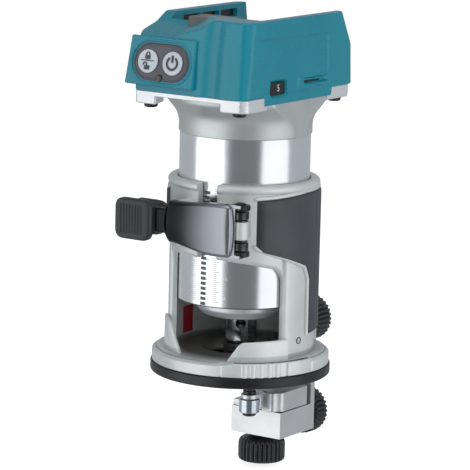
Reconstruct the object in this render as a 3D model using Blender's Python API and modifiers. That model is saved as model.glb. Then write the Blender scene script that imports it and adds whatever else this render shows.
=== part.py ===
"""Compact trim router with a trimming guide, built from its separate pieces.

The frame: origin on the spindle axis at the sole, +Z up, -Y is the front (buttons, rack and
clamp lever), +X is the side with the speed dial, and the battery slides in from +Y.
Lengths are millimetres; the building functions turn them into metres.
"""
import math

import bmesh
import bpy
from mathutils import Matrix, Vector

MM = 0.001
GAP = 0.3

# Driving dimensions
TUBE_R = 32.5                  # motor housing, the standard 65 mm body
TUBE_BORE = 29.7
TUBE_LOW, TUBE_TOP = 37.2, 121.0
SOLE_R, SOLE_THICK, SOLE_HOLE, SOLE_SCREW_RING = 45.0, 5.3, 16.0, 26.0
FLANGE_R, FLANGE_LOW, FLANGE_TOP, FLANGE_HOLE = 44.3, 5.6, 12.6, 20.0
BORE_R, COLLAR_R = 32.9, 36.5
COLLAR_LOW, COLLAR_TOP = 61.0, 99.0
WINDOW_LEFT, WINDOW_RIGHT = -43.0, 69.0      # degrees from the front, positive towards +X
SLIT_LEFT, SLIT_RIGHT = -2.0, 8.6
HEAD_LOW, HEAD_TOP = 143.5, 180.0
PLATE_LOW, FOOT_LOW = 141.0, 137.0
HEAD_X, HEAD_FRONT, HEAD_BACK = 33.5, -50.5, 45.0
CHANNEL_X, CHANNEL_FRONT, CHANNEL_FLOOR = 27.0, -36.0, 163.0
PANEL_TILT = math.radians(10.3)
PAD_CENTRE = (-15.4, -50.6, 158.0)
BUTTON_R, BUTTON_APART = 5.75, 14.6
RACK_PITCH, RACK_TEETH, PINION_TEETH = 2.513, 24, 10
PINION_Y, PINION_Z = -35.7, 79.0
PIN_X, PIN_Y = 24.5, -38.5
BOLT_Z = (71.4, 86.6)
KNOB_R, KNOB_LENGTH = 12.0, 13.0
ROLLER_Y, ROLLER_R = 9.3, 5.0
ARM_LOW, ARM_TOP = -24.2, -14.2
BLOCK_LOW, BLOCK_TOP = -38.0, -24.5
HOLDER_FRONT, HOLDER_PLATE, HOLDER_BACK = 19.0, 46.7, 50.3
SCREW_X, SCREW_Z = 1.0, -31.0
STUD_X, STUD_Y = -6.0, 30.4
CLAMP_A_Z = 17.0
SCREW_SPOTS = ((-26.0, -44.0), (26.0, -43.5), (27.0, 38.0), (-27.0, 38.0))

PARTS = "trim_router"
CUTTERS = "cutters"
AXES = {"X": Matrix.Rotation(math.pi / 2, 4, "Y"), "Y": Matrix.Rotation(-math.pi / 2, 4, "X"),
        "Z": Matrix.Identity(4), "-Z": Matrix.Rotation(math.pi, 4, "X"),
        "-X": Matrix.Rotation(-math.pi / 2, 4, "Y")}

COLOURS = {  # colour, metallic, roughness
    "teal_plastic": ((0.008, 0.26, 0.34), 0.0, 0.42),
    "black_plastic": ((0.02, 0.02, 0.022), 0.0, 0.45),
    "black_gloss": ((0.012, 0.012, 0.014), 0.0, 0.15),
    "grey_rubber": ((0.07, 0.075, 0.085), 0.0, 0.6),
    "cast_aluminium": ((0.62, 0.64, 0.64), 0.9, 0.5),
    "polished_aluminium": ((0.8, 0.81, 0.83), 1.0, 0.22),
    "steel": ((0.45, 0.46, 0.47), 1.0, 0.3),
    "zinc_steel": ((0.6, 0.62, 0.64), 1.0, 0.35),
    "dark_steel": ((0.05, 0.05, 0.055), 0.8, 0.4),
    "copper": ((0.6, 0.25, 0.12), 1.0, 0.35),
    "brass": ((0.7, 0.52, 0.2), 1.0, 0.3),
    "red_plastic": ((0.5, 0.01, 0.015), 0.0, 0.4),
    "white_print": ((0.75, 0.78, 0.8), 0.0, 0.4),
    "grey_plastic": ((0.12, 0.11, 0.1), 0.0, 0.5),
    "board_green": ((0.02, 0.12, 0.05), 0.0, 0.45),
    "clear_lens": ((0.35, 0.05, 0.05), 0.0, 0.1),
}


# ---- Scene and building functions ----

def clear_scene():
    for old in list(bpy.data.objects):
        bpy.data.objects.remove(old, do_unlink=True)


def collection(name, hidden):
    made = bpy.data.collections.new(name)
    bpy.context.scene.collection.children.link(made)
    made.hide_render = hidden
    return made


def material(name):
    found = bpy.data.materials.get(name)
    if found:
        return found
    colour, metallic, roughness = COLOURS[name]
    made = bpy.data.materials.new(name)
    made.use_nodes = True
    shader = made.node_tree.nodes["Principled BSDF"]
    shader.inputs["Base Color"].default_value = (*colour, 1.0)
    shader.inputs["Metallic"].default_value = metallic
    shader.inputs["Roughness"].default_value = roughness
    return made


def add_object(name, mesh, finish):
    """A part when it has a finish, otherwise a cutter."""
    made = bpy.data.objects.new(name, mesh)
    bpy.data.collections[PARTS if finish else CUTTERS].objects.link(made)
    if finish:
        mesh.materials.append(material(finish))
    else:
        made.hide_render = True
        made.display_type = "WIRE"
    return made


def from_bmesh(name, bm, finish):
    mesh = bpy.data.meshes.new(name)
    bmesh.ops.recalc_face_normals(bm, faces=bm.faces)
    bm.to_mesh(mesh)
    bm.free()
    return add_object(name, mesh, finish)


def move_origin(part, point):
    """Puts the part's origin on its joint's axis without moving its shape."""
    shift = Vector(point) * MM
    part.data.transform(Matrix.Translation(-shift))
    part.location = shift


def box(name, low, high, finish=None):
    bm = bmesh.new()
    bmesh.ops.create_cube(bm, size=1.0)
    size = [(b - a) * MM for a, b in zip(low, high)]
    centre = [(a + b) / 2 * MM for a, b in zip(low, high)]
    bmesh.ops.transform(bm, verts=bm.verts, matrix=Matrix.Translation(centre) @ Matrix.Diagonal((*size, 1)))
    return from_bmesh(name, bm, finish)


def rod(name, radius, start, end, finish=None, sides=24):
    bm = bmesh.new()
    start, end = Vector(start) * MM, Vector(end) * MM
    turn = (end - start).to_track_quat("Z", "Y").to_matrix().to_4x4()
    bmesh.ops.create_cone(bm, cap_ends=True, segments=sides, radius1=radius * MM, radius2=radius * MM,
                          depth=(end - start).length, matrix=Matrix.Translation((start + end) / 2) @ turn)
    return from_bmesh(name, bm, finish)


def turned(name, profile, finish=None, centre=(0, 0, 0), axis="Z", sides=32):
    """A Screw of (radius, height) points, down the outer side; a ring's profile comes back up inside."""
    mesh = bpy.data.meshes.new(name)
    points = [(r * MM, 0, z * MM) for r, z in profile]
    edges = [(i, i + 1) for i in range(len(points) - 1)]
    if profile[0][0] > 0:
        edges.append((len(points) - 1, 0))
    mesh.from_pydata(points, edges, [])
    made = add_object(name, mesh, finish)
    made.matrix_world = Matrix.Translation(Vector(centre) * MM) @ AXES[axis]
    screw = made.modifiers.new("turn", "SCREW")
    screw.steps = screw.render_steps = sides
    screw.use_merge_vertices = True
    screw.merge_threshold = 0.00001
    return made


def ring(name, outer, inner, low, high, finish=None, centre=(0, 0, 0), axis="Z", sides=32):
    return turned(name, ((outer, high), (outer, low), (inner, low), (inner, high)), finish, centre, axis,
                  sides)


def plate(name, outline, low, high, plane="XY", finish=None):
    """A flat outline given thickness from low to high along the plane's normal."""
    curve = bpy.data.curves.new(name, "CURVE")
    curve.dimensions = "2D"
    curve.fill_mode = "BOTH"
    curve.extrude = (high - low) / 2 * MM
    spline = curve.splines.new("POLY")
    spline.points.add(len(outline) - 1)
    for point, (u, v) in zip(spline.points, outline):
        point.co = (u * MM, v * MM, 0, 1)
    spline.use_cyclic_u = True
    guide = bpy.data.objects.new(name + "_outline", curve)
    bpy.context.scene.collection.objects.link(guide)
    bpy.context.view_layer.update()
    graph = bpy.context.evaluated_depsgraph_get()
    mesh = bpy.data.meshes.new_from_object(guide.evaluated_get(graph))
    mesh.name = name
    bpy.data.objects.remove(guide, do_unlink=True)
    mesh.materials.clear()
    bm = bmesh.new()
    bm.from_mesh(mesh)
    bmesh.ops.remove_doubles(bm, verts=bm.verts, dist=1e-6)
    middle = (low + high) / 2 * MM
    turn = {"XY": Matrix.Translation((0, 0, middle)),
            "XZ": Matrix.Translation((0, middle, 0)) @ Matrix.Rotation(math.pi / 2, 4, "X"),
            "YZ": Matrix(((0, 0, 1, middle), (1, 0, 0, 0), (0, 1, 0, 0), (0, 0, 0, 1)))}[plane]
    bmesh.ops.transform(bm, verts=bm.verts, matrix=turn)
    bmesh.ops.recalc_face_normals(bm, faces=bm.faces)
    bm.to_mesh(mesh)
    bm.free()
    return add_object(name, mesh, finish)


def loft(name, sections, finish=None, turn=None, caps="flat"):
    """A closed body through equal rings of points; fan caps suit rings that aren't flat."""
    bm = bmesh.new()
    rings = [[bm.verts.new(Vector(p) * MM) for p in section] for section in sections]
    count = len(rings[0])
    for lower, upper in zip(rings, rings[1:]):
        for i in range(count):
            bm.faces.new((lower[i], lower[(i + 1) % count], upper[(i + 1) % count], upper[i]))
    for end in (rings[0], rings[-1]):
        if caps == "flat":
            bm.faces.new(end)
        else:
            for i in range(1, count - 1):
                bm.faces.new((end[0], end[i], end[i + 1]))
    if turn is not None:
        bmesh.ops.transform(bm, verts=bm.verts, matrix=turn)
    return from_bmesh(name, bm, finish)


def boolean(part, tool, operation):
    step = part.modifiers.new(tool.name, "BOOLEAN")
    step.operation = operation
    step.solver = "EXACT"
    step.object = tool


def cut(part, *tools):
    for tool in tools:
        boolean(part, tool, "DIFFERENCE")


def join(part, *tools):
    for tool in tools:
        boolean(part, tool, "UNION")


def smooth(part, angle=35):
    part.data.shade_smooth()
    part.data.set_sharp_from_angle(angle=math.radians(angle))


def around(angle, radius, height):
    """The point at this angle from the front, positive towards +X."""
    turn = math.radians(angle)
    return (radius * math.sin(turn), -radius * math.cos(turn), height)


def round_outline(width, height, radius, centre=(0, 0), steps=5):
    """A rectangle with round corners."""
    points = []
    for quarter in range(4):
        cx = centre[0] + (width / 2 - radius) * (1 if quarter in (0, 3) else -1)
        cy = centre[1] + (height / 2 - radius) * (1 if quarter in (0, 1) else -1)
        for i in range(steps + 1):
            turn = math.pi / 2 * (quarter + i / steps)
            points.append((cx + radius * math.cos(turn), cy + radius * math.sin(turn)))
    return points


def fluted_knob(name, centre, axis, radius=KNOB_R, length=KNOB_LENGTH, neck=6.5, bore=0.0, flutes=20):
    """A knob along its axis from its neck: a coned shoulder, fluted sides and a chamfered end."""
    rise = length * 0.18
    stations = ((neck, 0.0, 0.0), (neck, rise * 0.7, 0.0), (radius * 0.9, rise * 1.3, 0.2),
                (radius, rise * 2.0, 0.7), (radius, length - 1.2, 0.7), (radius - 1.3, length, 0.2))
    sections = []
    for size, height, depth in stations:
        points = []
        for i in range(flutes * 2):
            turn = math.pi * i / flutes
            reach = size - depth * (0.5 - 0.5 * math.cos(flutes * turn))
            points.append((reach * math.cos(turn), reach * math.sin(turn), height))
        sections.append(points)
    made = loft(name, sections, "black_plastic")
    made.matrix_world = Matrix.Translation(Vector(centre) * MM) @ AXES[axis]
    if bore:
        cut(made, turned(name + "_bore", ((0, length - 2.5), (bore, length - 2.5), (bore, -1), (0, -1)),
                         None, centre, axis, 24))
    smooth(made, 40)
    return made


# ---- Base: sole, casting, grips ----

def sole():
    made = turned("sub_base", ((SOLE_R, SOLE_THICK), (SOLE_R, 0.8), (SOLE_R - 0.8, 0), (SOLE_HOLE, 0),
                               (SOLE_HOLE, SOLE_THICK)), "black_plastic", sides=48)
    for number, angle in enumerate((0, 90, 180, 270), 1):
        x, y, _ = around(angle + 45, SOLE_SCREW_RING, 0)
        sink = ((0, 7), (2.0, 7), (2.0, 2.6), (4.0, 0.6), (4.0, -1), (0, -1))
        cut(made, turned(f"sole_countersink_{number}", sink, None, (x, y, 0), sides=12))
        screw = ((0, 11.5), (1.7, 11.5), (1.7, 2.7), (3.6, 0.8), (3.6, 0.4), (0, 0.4))
        turned(f"sub_base_screw_{number}", screw, "dark_steel", (x, y, 0), sides=12)
    smooth(made)


def window_cutter():
    """The opening in the base wall: a sector whose top drops towards the right column."""
    heights = ((WINDOW_LEFT, 60.0), (WINDOW_LEFT + 5, 62.0), (-20, 62.0), (0, 62.0), (20, 61.8), (40, 60.0),
               (60, 57.4), (WINDOW_RIGHT - 2.5, 55.5), (WINDOW_RIGHT, 51.0))
    low = [(0, 0, FLANGE_TOP + 0.02)] + [around(a, 60, FLANGE_TOP + 0.02) for a, _ in heights]
    high = [(0, 0, 62.0)] + [around(a, 60, z) for a, z in heights]
    return loft("base_window", (low, high), caps="fan")


def low_wall(name, tops):
    """A fence on the flange; each top is (angle, height)."""
    sections = [[around(a, 36.4, 11), around(a, 38.4, 11), around(a, 38.2, z), around(a, 36.6, z)] for a,
                z in tops]
    return loft(name, sections)


def base_casting():
    wall = ((COLLAR_R, FLANGE_TOP - 2), (BORE_R, FLANGE_TOP - 2), (BORE_R, COLLAR_TOP - 0.8),
            (BORE_R + 0.8, COLLAR_TOP),
            (COLLAR_R + 0.2, COLLAR_TOP), (COLLAR_R + 1.2, COLLAR_TOP - 1.4), (COLLAR_R + 1.2,
                                                                               COLLAR_TOP - 3.0),
            (COLLAR_R, COLLAR_TOP - 4.6))
    made = turned("base_casting", wall, "cast_aluminium", sides=48)
    cut(made, window_cutter())
    join(made,
         turned("flange", ((FLANGE_R, FLANGE_TOP - 1), (FLANGE_R, FLANGE_LOW), (FLANGE_HOLE, FLANGE_LOW),
                                 (FLANGE_HOLE, FLANGE_TOP), (FLANGE_R - 1, FLANGE_TOP)), sides=48))
    join(made, low_wall("fence_right", ((25, 12.9), (34, 21.6), (50, 22.2), (72, 22.6))))
    join(made, low_wall("fence_left", ((-48, 29), (-34, 27), (-17, 12.9))))
    front, back = -42.0, -33.4
    join(made, box("lug_left", (-11, front, 67.6), (SLIT_LEFT, back, 90.4)),
         box("lug_right", (SLIT_RIGHT, front + 0.7, 67.6), (17.0, back + 2, 90.4)),
         rod("pinion_boss", 4.5, (-19, PINION_Y, PINION_Z), (-6, PINION_Y, PINION_Z)),
         box("rear_boss", (-10, 33.6, 7.5), (10, 46.4, 27)))
    cut(made, box("slit", (SLIT_LEFT, -50, COLLAR_LOW - 2), (SLIT_RIGHT, -20, COLLAR_TOP + 5)),
        rod("pinion_bore", 2.3, (-25, PINION_Y, PINION_Z), (0, PINION_Y, PINION_Z)),
        rod("rear_bore", 3.2, (0, 20, CLAMP_A_Z), (0, 60, CLAMP_A_Z)),
        rod("side_hole", 1.5, (30, -2.7, 20.5), (40, -2.7, 20.5), sides=16))
    pocket = ring("insert_pocket", 35.2, 30, 14.2, 28.9)
    boolean(pocket, box("insert_pocket_span", (-40, -5, 10), (-20, 5, 40)), "INTERSECT")
    cut(made, pocket)
    cut(made, *[rod(f"bolt_bore_{i}", 1.9, (-20, PIN_Y, z), (25, PIN_Y, z)) for i, z in enumerate(BOLT_Z, 1)])
    for number in range(4):
        x, y, _ = around(number * 90 + 45, SOLE_SCREW_RING, 0)
        cut(made, rod(f"screw_bore_{number + 1}", 2.0, (x, y, 0), (x, y, 12), sides=20))
    cut(made, rod("clear_bore", BORE_R - 0.2, (0, 0, FLANGE_TOP + 1), (0, 0, 120), sides=48))
    for number, angle in enumerate((37, 42.5, 48, 53.5, 59), 1):
        low, high = [around(angle, FLANGE_R + 0.1, z) for z in (FLANGE_LOW + 0.4, FLANGE_TOP - 0.8)]
        join(made, rod(f"grip_rib_{number}", 1.1, low, high, sides=8))
    smooth(made)

    insert = ring("red_insert", 34.9, 33.1, 14.6, 28.5, "red_plastic", sides=48)
    boolean(insert, box("insert_span", (-40, -4.4, 10), (-20, 4.4, 40)), "INTERSECT")


def grips():
    """Rubber side grips: a wide pad beside the collar that runs down the column as a narrow strip."""
    side = ((-26, 91.8), (-26, 68.6), (0.5, 57.4), (3.6, 52), (4.0, 22.8), (24, 22.8), (24, 94), (0, 94))
    for name, edge, x0, x1 in (("grip_right", -26, 20, 50), ("grip_left", -22, -50, -20)):
        made = turned(name, ((38.4, 94.0), (38.4, 22), (36.8, 22), (36.8, 94.0)), "grey_rubber", sides=48)
        outline = [(max(y, edge), z) for y, z in side]
        boolean(made, plate(name + "_outline", outline, x0, x1, "YZ"), "INTERSECT")
        smooth(made)


# ---- Motor unit ----

def motor_housing():
    profile = ((TUBE_R, TUBE_TOP), (TUBE_R, TUBE_LOW + 0.6), (TUBE_R - 0.6, TUBE_LOW), (TUBE_BORE, TUBE_LOW),
               (TUBE_BORE, HEAD_LOW - GAP), (40.0, HEAD_LOW - GAP), (40.0, 138.6), (37.6, 134.6),
               (34.6, 131.0), (33.1, 127.0), (33.1, TUBE_TOP))
    made = turned("motor_housing", profile, "polished_aluminium", sides=48)
    cut(made, box("neck_trim_right", (32.6, -60, 125), (60, 60, 150)),
        box("neck_trim_left", (-60, -60, 125), (-33.4, 60, 150)))
    outline = ((-33.4, -44.5), (-31, HEAD_FRONT + 0.4), (21.7, HEAD_FRONT + 0.4), (30, -48.8), (32.6, -46),
               (32.6, 42),
               (30, HEAD_BACK - 0.2), (-30, HEAD_BACK - 0.2), (-33.4, 42))
    top = plate("head_plate", outline, PLATE_LOW, HEAD_LOW - GAP)
    cut(top, rod("head_plate_bore", TUBE_BORE + 1, (0, 0, 130), (0, 0, 150), sides=48))
    join(made, top)
    feet = {"foot_front_left": (((-33.4, -44.5), (-31, -50.1), (-19, -50.1), (-22.5, -38), (-33.4, -34))),
            "foot_front_right": ((18.5, -50.1), (21.7, -50.1), (30, -48.8), (32.6, -46), (32.6, -29),
                                 (22, -38)),
            "foot_back_right": ((32.6, 21), (32.6, 42), (30, 44.8), (20, 44.8), (23, 34)),
            "foot_back_left": ((-33.4, 42), (-33.4, 26), (-23, 34), (-20, 44.8), (-30, 44.8))}
    join(made, *[plate(name, points, FOOT_LOW, PLATE_LOW + 0.6) for name, points in feet.items()])
    cut(made, box("skirt_recess", (30.6, -28.8, 136), (40, 20.8, 146)))
    cut(made,
        *[rod(f"foot_bore_{i}", 2.2, (x, y, 130), (x, y, 150), sides=20) for i,
          (x, y) in enumerate(SCREW_SPOTS, 1)])
    cut(made, rack_cutter())
    smooth(made, 30)


def rack_cutter():
    """The slots between the rack's teeth, a column of small blocks; one slot faces the pinion's axis."""
    bm = bmesh.new()
    first = PINION_Z - RACK_PITCH * 16
    for i in range(RACK_TEETH):
        place = Matrix.Translation(Vector((0, -33.1, first + RACK_PITCH * i)) * MM)
        bmesh.ops.create_cube(bm, size=1.0, matrix=place @ Matrix.Diagonal((4.8 * MM, 5.0 * MM, 1.6 * MM, 1)))
    return from_bmesh("rack_slots", bm, None)


def motor_inside():
    bowl = ((29.4, 41.5), (29.4, 38.0), (23.6, 37.6), (22.8, 33.0), (20.0, 29.8), (15.5, 28.6),
            (8.8, 28.6), (8.8, 41.5))
    turned("retainer_plate", bowl, "cast_aluminium")
    for name, outer, inner, low in (("lower_bearing", 14.0, 6.3, 42.0), ("upper_bearing", 9.5, 4.3, 120.5)):
        ring(name, outer, inner, low, low + (8 if outer > 10 else 6), "steel", sides=32)
    turned("bearing_seat",
           ((29.4, 56), (29.4, 52), (29.4, 42), (14.3, 42), (14.3, 50.5), (9, 50.5),
            (9, 56)), "cast_aluminium")
    bridge = turned("bearing_bridge",
                    ((29.4, 127), (29.4, 120.2), (9.8, 120.2), (9.8, 126.8), (5, 126.8), (5, 129),
                     (12, 129)),
                    "grey_plastic", sides=32)
    cut(bridge,
        *[rod(f"air_port_{i}", 6.5, (*around(a, 20.5, 0)[:2], 110), (*around(a, 20.5, 0)[:2], 135), sides=8)
                  for i, a in enumerate(range(7, 360, 60), 1)])
    stator = ring("stator_core", 29.4, 15.2, 66, 100, "dark_steel", sides=32)
    cut(stator,
        *[rod(f"stator_slot_{i}", 3.0, (*around(a, 21, 0)[:2], 60), (*around(a, 21, 0)[:2], 110), sides=8)
                  for i, a in enumerate(range(10, 360, 60), 1)])
    ring("winding_lower", 27.0, 17.0, 58.5, 65.7, "copper", sides=32)
    ring("winding_upper", 27.0, 17.0, 100.3, 106.5, "copper", sides=32)


def rotor():
    profile = ((0, 129.5), (3.9, 129.5), (3.9, 118), (5.0, 118), (5.0, 60), (5.9, 60), (5.9, 41.8),
               (8.0, 41.8), (8.0, 16.0), (6.6, 14.6), (6.6, 8.2), (5.2, 8.2), (4.4, 30), (0, 30))
    shaft = turned("spindle", profile, "steel", sides=24)
    side = around(34, 1, 0)
    cut(shaft, rod("spindle_hole", 2.6, (0, 0, 25.0), (side[0] * 15, side[1] * 15, 25.0), sides=20),
        box("spanner_flat_front", (-10, -10, 16.6), (10, -6.8, 21.4)),
        box("spanner_flat_rear", (-10, 6.8, 16.6), (10, 10, 21.4)))
    smooth(shaft)
    ring("rotor_core", 14.6, 5.3, 67, 99, "zinc_steel", sides=32)
    fan = turned("fan",
                 ((6.5, 117.6), (6.5, 109.4), (26.5, 109.4), (26.5, 108.4), (5.3, 108.4), (5.3, 117.6)),
                 "black_plastic", sides=24)
    for number in range(9):
        angle = 40 * number
        blade = box(f"fan_blade_{number + 1}", (6.0, -0.6, 109.0), (26.0, 0.6, 116.5))
        blade.rotation_euler = (0, 0, math.radians(angle))
        join(fan, blade)
    turned("collet_cone", ((4.1, 23.6), (4.85, 7.9), (3.05, 7.9), (3.05, 23.6)), "steel", sides=24)
    nut = turned("collet_nut",
                 ((9.4, 14.4), (9.4, 6.1), (8.2, 5.0), (4.7, 5.0), (4.7, 7.4), (6.9, 7.8), (6.9, 14.4)),
                 "steel", sides=24)
    boolean(nut, rod("nut_hex", 9.4, (0, 0, 0), (0, 0, 30), sides=6), "INTERSECT")


# ---- Head ----

def head_sections():
    low = ((-34.3, -44.5), (-31, HEAD_FRONT), (21.7, HEAD_FRONT), (30, -49), (33, -46), (HEAD_X, 41.5),
           (30.5, HEAD_BACK),
           (-30.5, HEAD_BACK), (-34.3, 41.5))
    middle = ((-34.3, -43), (-31, -48.4), (21.2, -48.4), (29.2, -46.8), (33, -43.6), (HEAD_X, 40.5),
              (30.5, 43.6),
              (-30.5, 43.6), (-34.3, 40.5))
    top = ((-33.4, -40), (-30.5, -45.4), (20.5, -45.4), (28, -44), (32, -40), (32.4, 33.5), (30, 35.6),
           (-30, 35.6),
           (-33.4, 33.5))
    return [[(x, y, z) for x, y in outline] for outline,
            z in ((low, HEAD_LOW), (middle, 163.6), (top, HEAD_TOP))]


def head_cover():
    made = loft("head_cover", head_sections(), "teal_plastic")
    slope = 1 / math.tan(math.radians(90 - 10.3))
    panel = [[(-36.2, y0 + 8, z), (-35.6, y0, z), (4.2, y0, z), (5.8, y0 + 8, z)]
             for z in (146.6, 171.0) for y0 in (-52.6 + (z - 146.6) * slope,)]
    join(made, loft("panel_pad", panel), box("skirt", (31.0, -28.4, 139.2), (HEAD_X, 20.4, 145)))
    cut(made,
        plate("roof_slope",
              ((-70, 163), (-47.6, 170), (-30.3, 175.5), (-23, HEAD_TOP + 0.01), (-23, 200),
               (-70, 200)), -60, -11, "YZ"))
    facet = ((-11.2, -60, 168.0), (4.6, -60, 169.5), (6.5, -42, 178.0), (-11.2, -30, 175.6))
    cut(made, loft("roof_facet", (facet, [(x, y, 200) for x, y, _ in facet]), caps="fan"))
    cut(made, box("channel", (-CHANNEL_X, CHANNEL_FRONT, CHANNEL_FLOOR), (CHANNEL_X, 70, 200)),
        box("rail_groove", (-30.6, -24, 166), (30.6, 70, 171)))
    cut(made,
        *[box(f"rail_slot_{i}", (-29.8, y, 173.6), (-20, y + 13, 177.4)) for i,
          y in enumerate((-16, 0, 16), 1)])
    cut(made, box("inside", (-31.4, -46, 130), (30.6, 41, 160)),
        box("inside_front", (-30, -49.6, 149.5), (1, -40, 160)))
    posts = [plate(f"screw_post_{i}",
                   [(x + 5 * math.cos(a * math.pi / 4),
                     y + 5 * math.sin(a * math.pi / 4)) for a in range(8)],
                   HEAD_LOW + 0.01, 161) for i, (x, y) in enumerate(SCREW_SPOTS, 1)]
    join(made, *posts)
    cut(made,
        *[rod(f"post_bore_{i}", 2.0, (x, y, 140), (x, y, 155), sides=16) for i,
          (x, y) in enumerate(SCREW_SPOTS, 1)])
    cut(made, box("dial_window", (20, -26.5, 143.0), (40, -13.5, 150.2)),
        box("vent_slot", (25, 1, 147.4), (40, 21, 149.4)))
    cut(made, tilted_plate("pad_recess", round_outline(33.6, 19.2, 9.5), -8, 2.0))
    return made


def tilted_plate(name, outline, low, high, finish=None):
    """A plate on the leaning button panel, its plane's u along X, v up the panel, thickness outwards."""
    made = plate(name, outline, low, high, "XY")
    frame = Matrix.Translation(Vector(PAD_CENTRE) * MM) @ Matrix.Rotation(math.pi / 2 - PANEL_TILT, 4, "X")
    made.data.transform(frame)
    if finish:
        bpy.data.collections[CUTTERS].objects.unlink(made)
        bpy.data.collections[PARTS].objects.link(made)
        made.hide_render = False
        made.display_type = "TEXTURED"
        made.data.materials.append(material(finish))
    return made


def panel_point(u, v, out):
    frame = Matrix.Translation(Vector(PAD_CENTRE)) @ Matrix.Rotation(math.pi / 2 - PANEL_TILT, 4, "X")
    return frame @ Vector((u, v, out))


def circle(radius, centre=(0, 0), sides=32):
    return [(centre[0] + radius * math.cos(2 * math.pi * i / sides),
             centre[1] + radius * math.sin(2 * math.pi * i / sides))
            for i in range(sides)]


def controls():
    pad = tilted_plate("button_panel", round_outline(33.0, 18.6, 9.29), -1.6, 1.0, "grey_rubber")
    for name, u in (("lock_button", -BUTTON_APART / 2), ("power_button", BUTTON_APART / 2)):
        cut(pad, tilted_plate(name + "_opening", circle(BUTTON_R + GAP, (u, 0)), -10, 10))
        button = tilted_plate(name, circle(BUTTON_R, (u, 0)), -1.4, 1.5, "white_print")
        move_origin(button, panel_point(u, 0, 0))
    cut(pad, tilted_plate("lens_opening", circle(1.8 + GAP, (0, -7.6), 16), -10, 10))
    tilted_plate("indicator_lens", circle(1.8, (0, -7.6), 16), -1.4, 1.1, "clear_lens")
    box("switch_board", (-20.4, -44.6, 149), (0.6, -43, 159.5), "board_green")
    dial = turned("speed_dial", ((0, 150), (8.6, 150), (8.6, 144.2), (0, 144.2)), "black_plastic",
                  (23.6, -20, 0), sides=40)
    smooth(dial)
    box("controller_case", (-22, -34, 146), (14, 34, 158), "grey_plastic")
    box("controller_board", (-20, -32, 158.3), (12, 32, 159.6), "board_green")
    block = box("terminal_block", (-12, -34, CHANNEL_FLOOR + GAP), (12, -20, 179.6), "grey_plastic")
    cut(block,
        *[box(f"terminal_slot_{i}", (x - 1.2, -28, 168), (x + 1.2, -10, 176)) for i,
          x in enumerate((-7, 7), 1)])
    for number, x in enumerate((-7, 7), 1):
        box(f"terminal_blade_{number}", (x - 0.5, -27.5, 168.5), (x + 0.5, -8, 175.5), "brass")
    for number, (x, y) in enumerate(SCREW_SPOTS, 1):
        turned(f"head_screw_{number}",
               ((0, 154), (1.7, 154), (1.7, 136.7), (3.4, 136.7), (3.4, 134.9), (0, 134.9)),
               "dark_steel", (x, y, 0), sides=12)


# ---- Clamp lever, pinion and its knob ----

LEVER_LINE = ((22.2, -43.7), (19.4, -45.2), (15.0, -46.6), (9.0, -47.7), (1.0, -48.2), (-7.0, -48.0),
              (-13.4, -47.2))


def clamp_lever():
    """A channel-section lever: a curved face with flanges turned in at its top and bottom edges."""
    wall, lip = 1.8, 4.4
    sections = []
    for i, (x, y) in enumerate(LEVER_LINE):
        before, after = LEVER_LINE[max(i - 1, 0)], LEVER_LINE[min(i + 1, len(LEVER_LINE) - 1)]
        along = Vector((after[0] - before[0], after[1] - before[1])).normalized()
        inward = Vector((along.y, -along.x))
        share = max(0.0, (16.5 - x) / 30.0)
        low, high = 66.0 + 3.4 * share, 92.0 - 1.9 * share
        corners = ((0, low), (0, high), (lip, high), (lip, high - wall), (wall, high - wall),
                   (wall, low + wall),
                   (lip, low + wall), (lip, low))
        sections.append([(x + inward.x * d, y + inward.y * d, z) for d, z in corners])
    made = loft("clamp_lever", sections, "black_gloss")
    ear = [(PIN_X + 5.0 * math.cos(math.radians(a)),
            PIN_Y + 5.0 * math.sin(math.radians(a))) for a in range(-60, 181, 20)]
    ear += [(18.4, -42.8), (15.5, -46.2), (19.4, -45.2), (22.2, -43.9)]
    for name, low in (("ear_low", 66.6), ("ear_high", 88.8)):
        join(made, plate(name, ear, low, low + 2.6))
    join(made, box("lever_neck", (-21.6, -48.8, 73.6), (-12.6, -46.2, 86.0)))
    cut(made, rod("pin_bore", 2.5, (PIN_X, PIN_Y, 60), (PIN_X, PIN_Y, 100)))
    move_origin(made, (PIN_X, PIN_Y, 79))
    smooth(made)
    tab = plate("lever_tab", round_outline(21.0, 20.4, 4.6, (-32.3, 79.2)), -50.0, -45.4, "XZ",
                "black_plastic")
    move_origin(tab, (PIN_X, PIN_Y, 79))
    notch = box("tab_notch", (-24, -48.9 - GAP, 73.6 - GAP), (-20, -46.2 + GAP, 86.0 + GAP))
    cut(tab, notch)


def clamp_hardware():
    rod("lever_pin", 2.2, (PIN_X, PIN_Y, 65.4), (PIN_X, PIN_Y, 92.6), "steel", 20)
    ring("lever_bush", 3.7, 2.5, 73.6, 84.4, "brass", (PIN_X, PIN_Y, 0), sides=24)
    for place, z in zip(("lower", "upper"), BOLT_Z):
        bolt = ring(f"clamp_bolt_{place}", 4.2, 2.5, z - 1.8, z + 1.8, "zinc_steel", (PIN_X, PIN_Y, 0),
                    sides=24)
        join(bolt, rod(f"bolt_shank_{place}", 1.6, (PIN_X - 3.2, PIN_Y, z), (-15.5, PIN_Y, z), sides=16))
        nut = rod(f"clamp_nut_{place}", 2.9, (-13.6, PIN_Y, z), (-11.3, PIN_Y, z), "zinc_steel", 6)
        cut(nut, rod(f"nut_bore_{place}", 1.9, (-20, PIN_Y, z), (-5, PIN_Y, z), sides=16))


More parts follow.
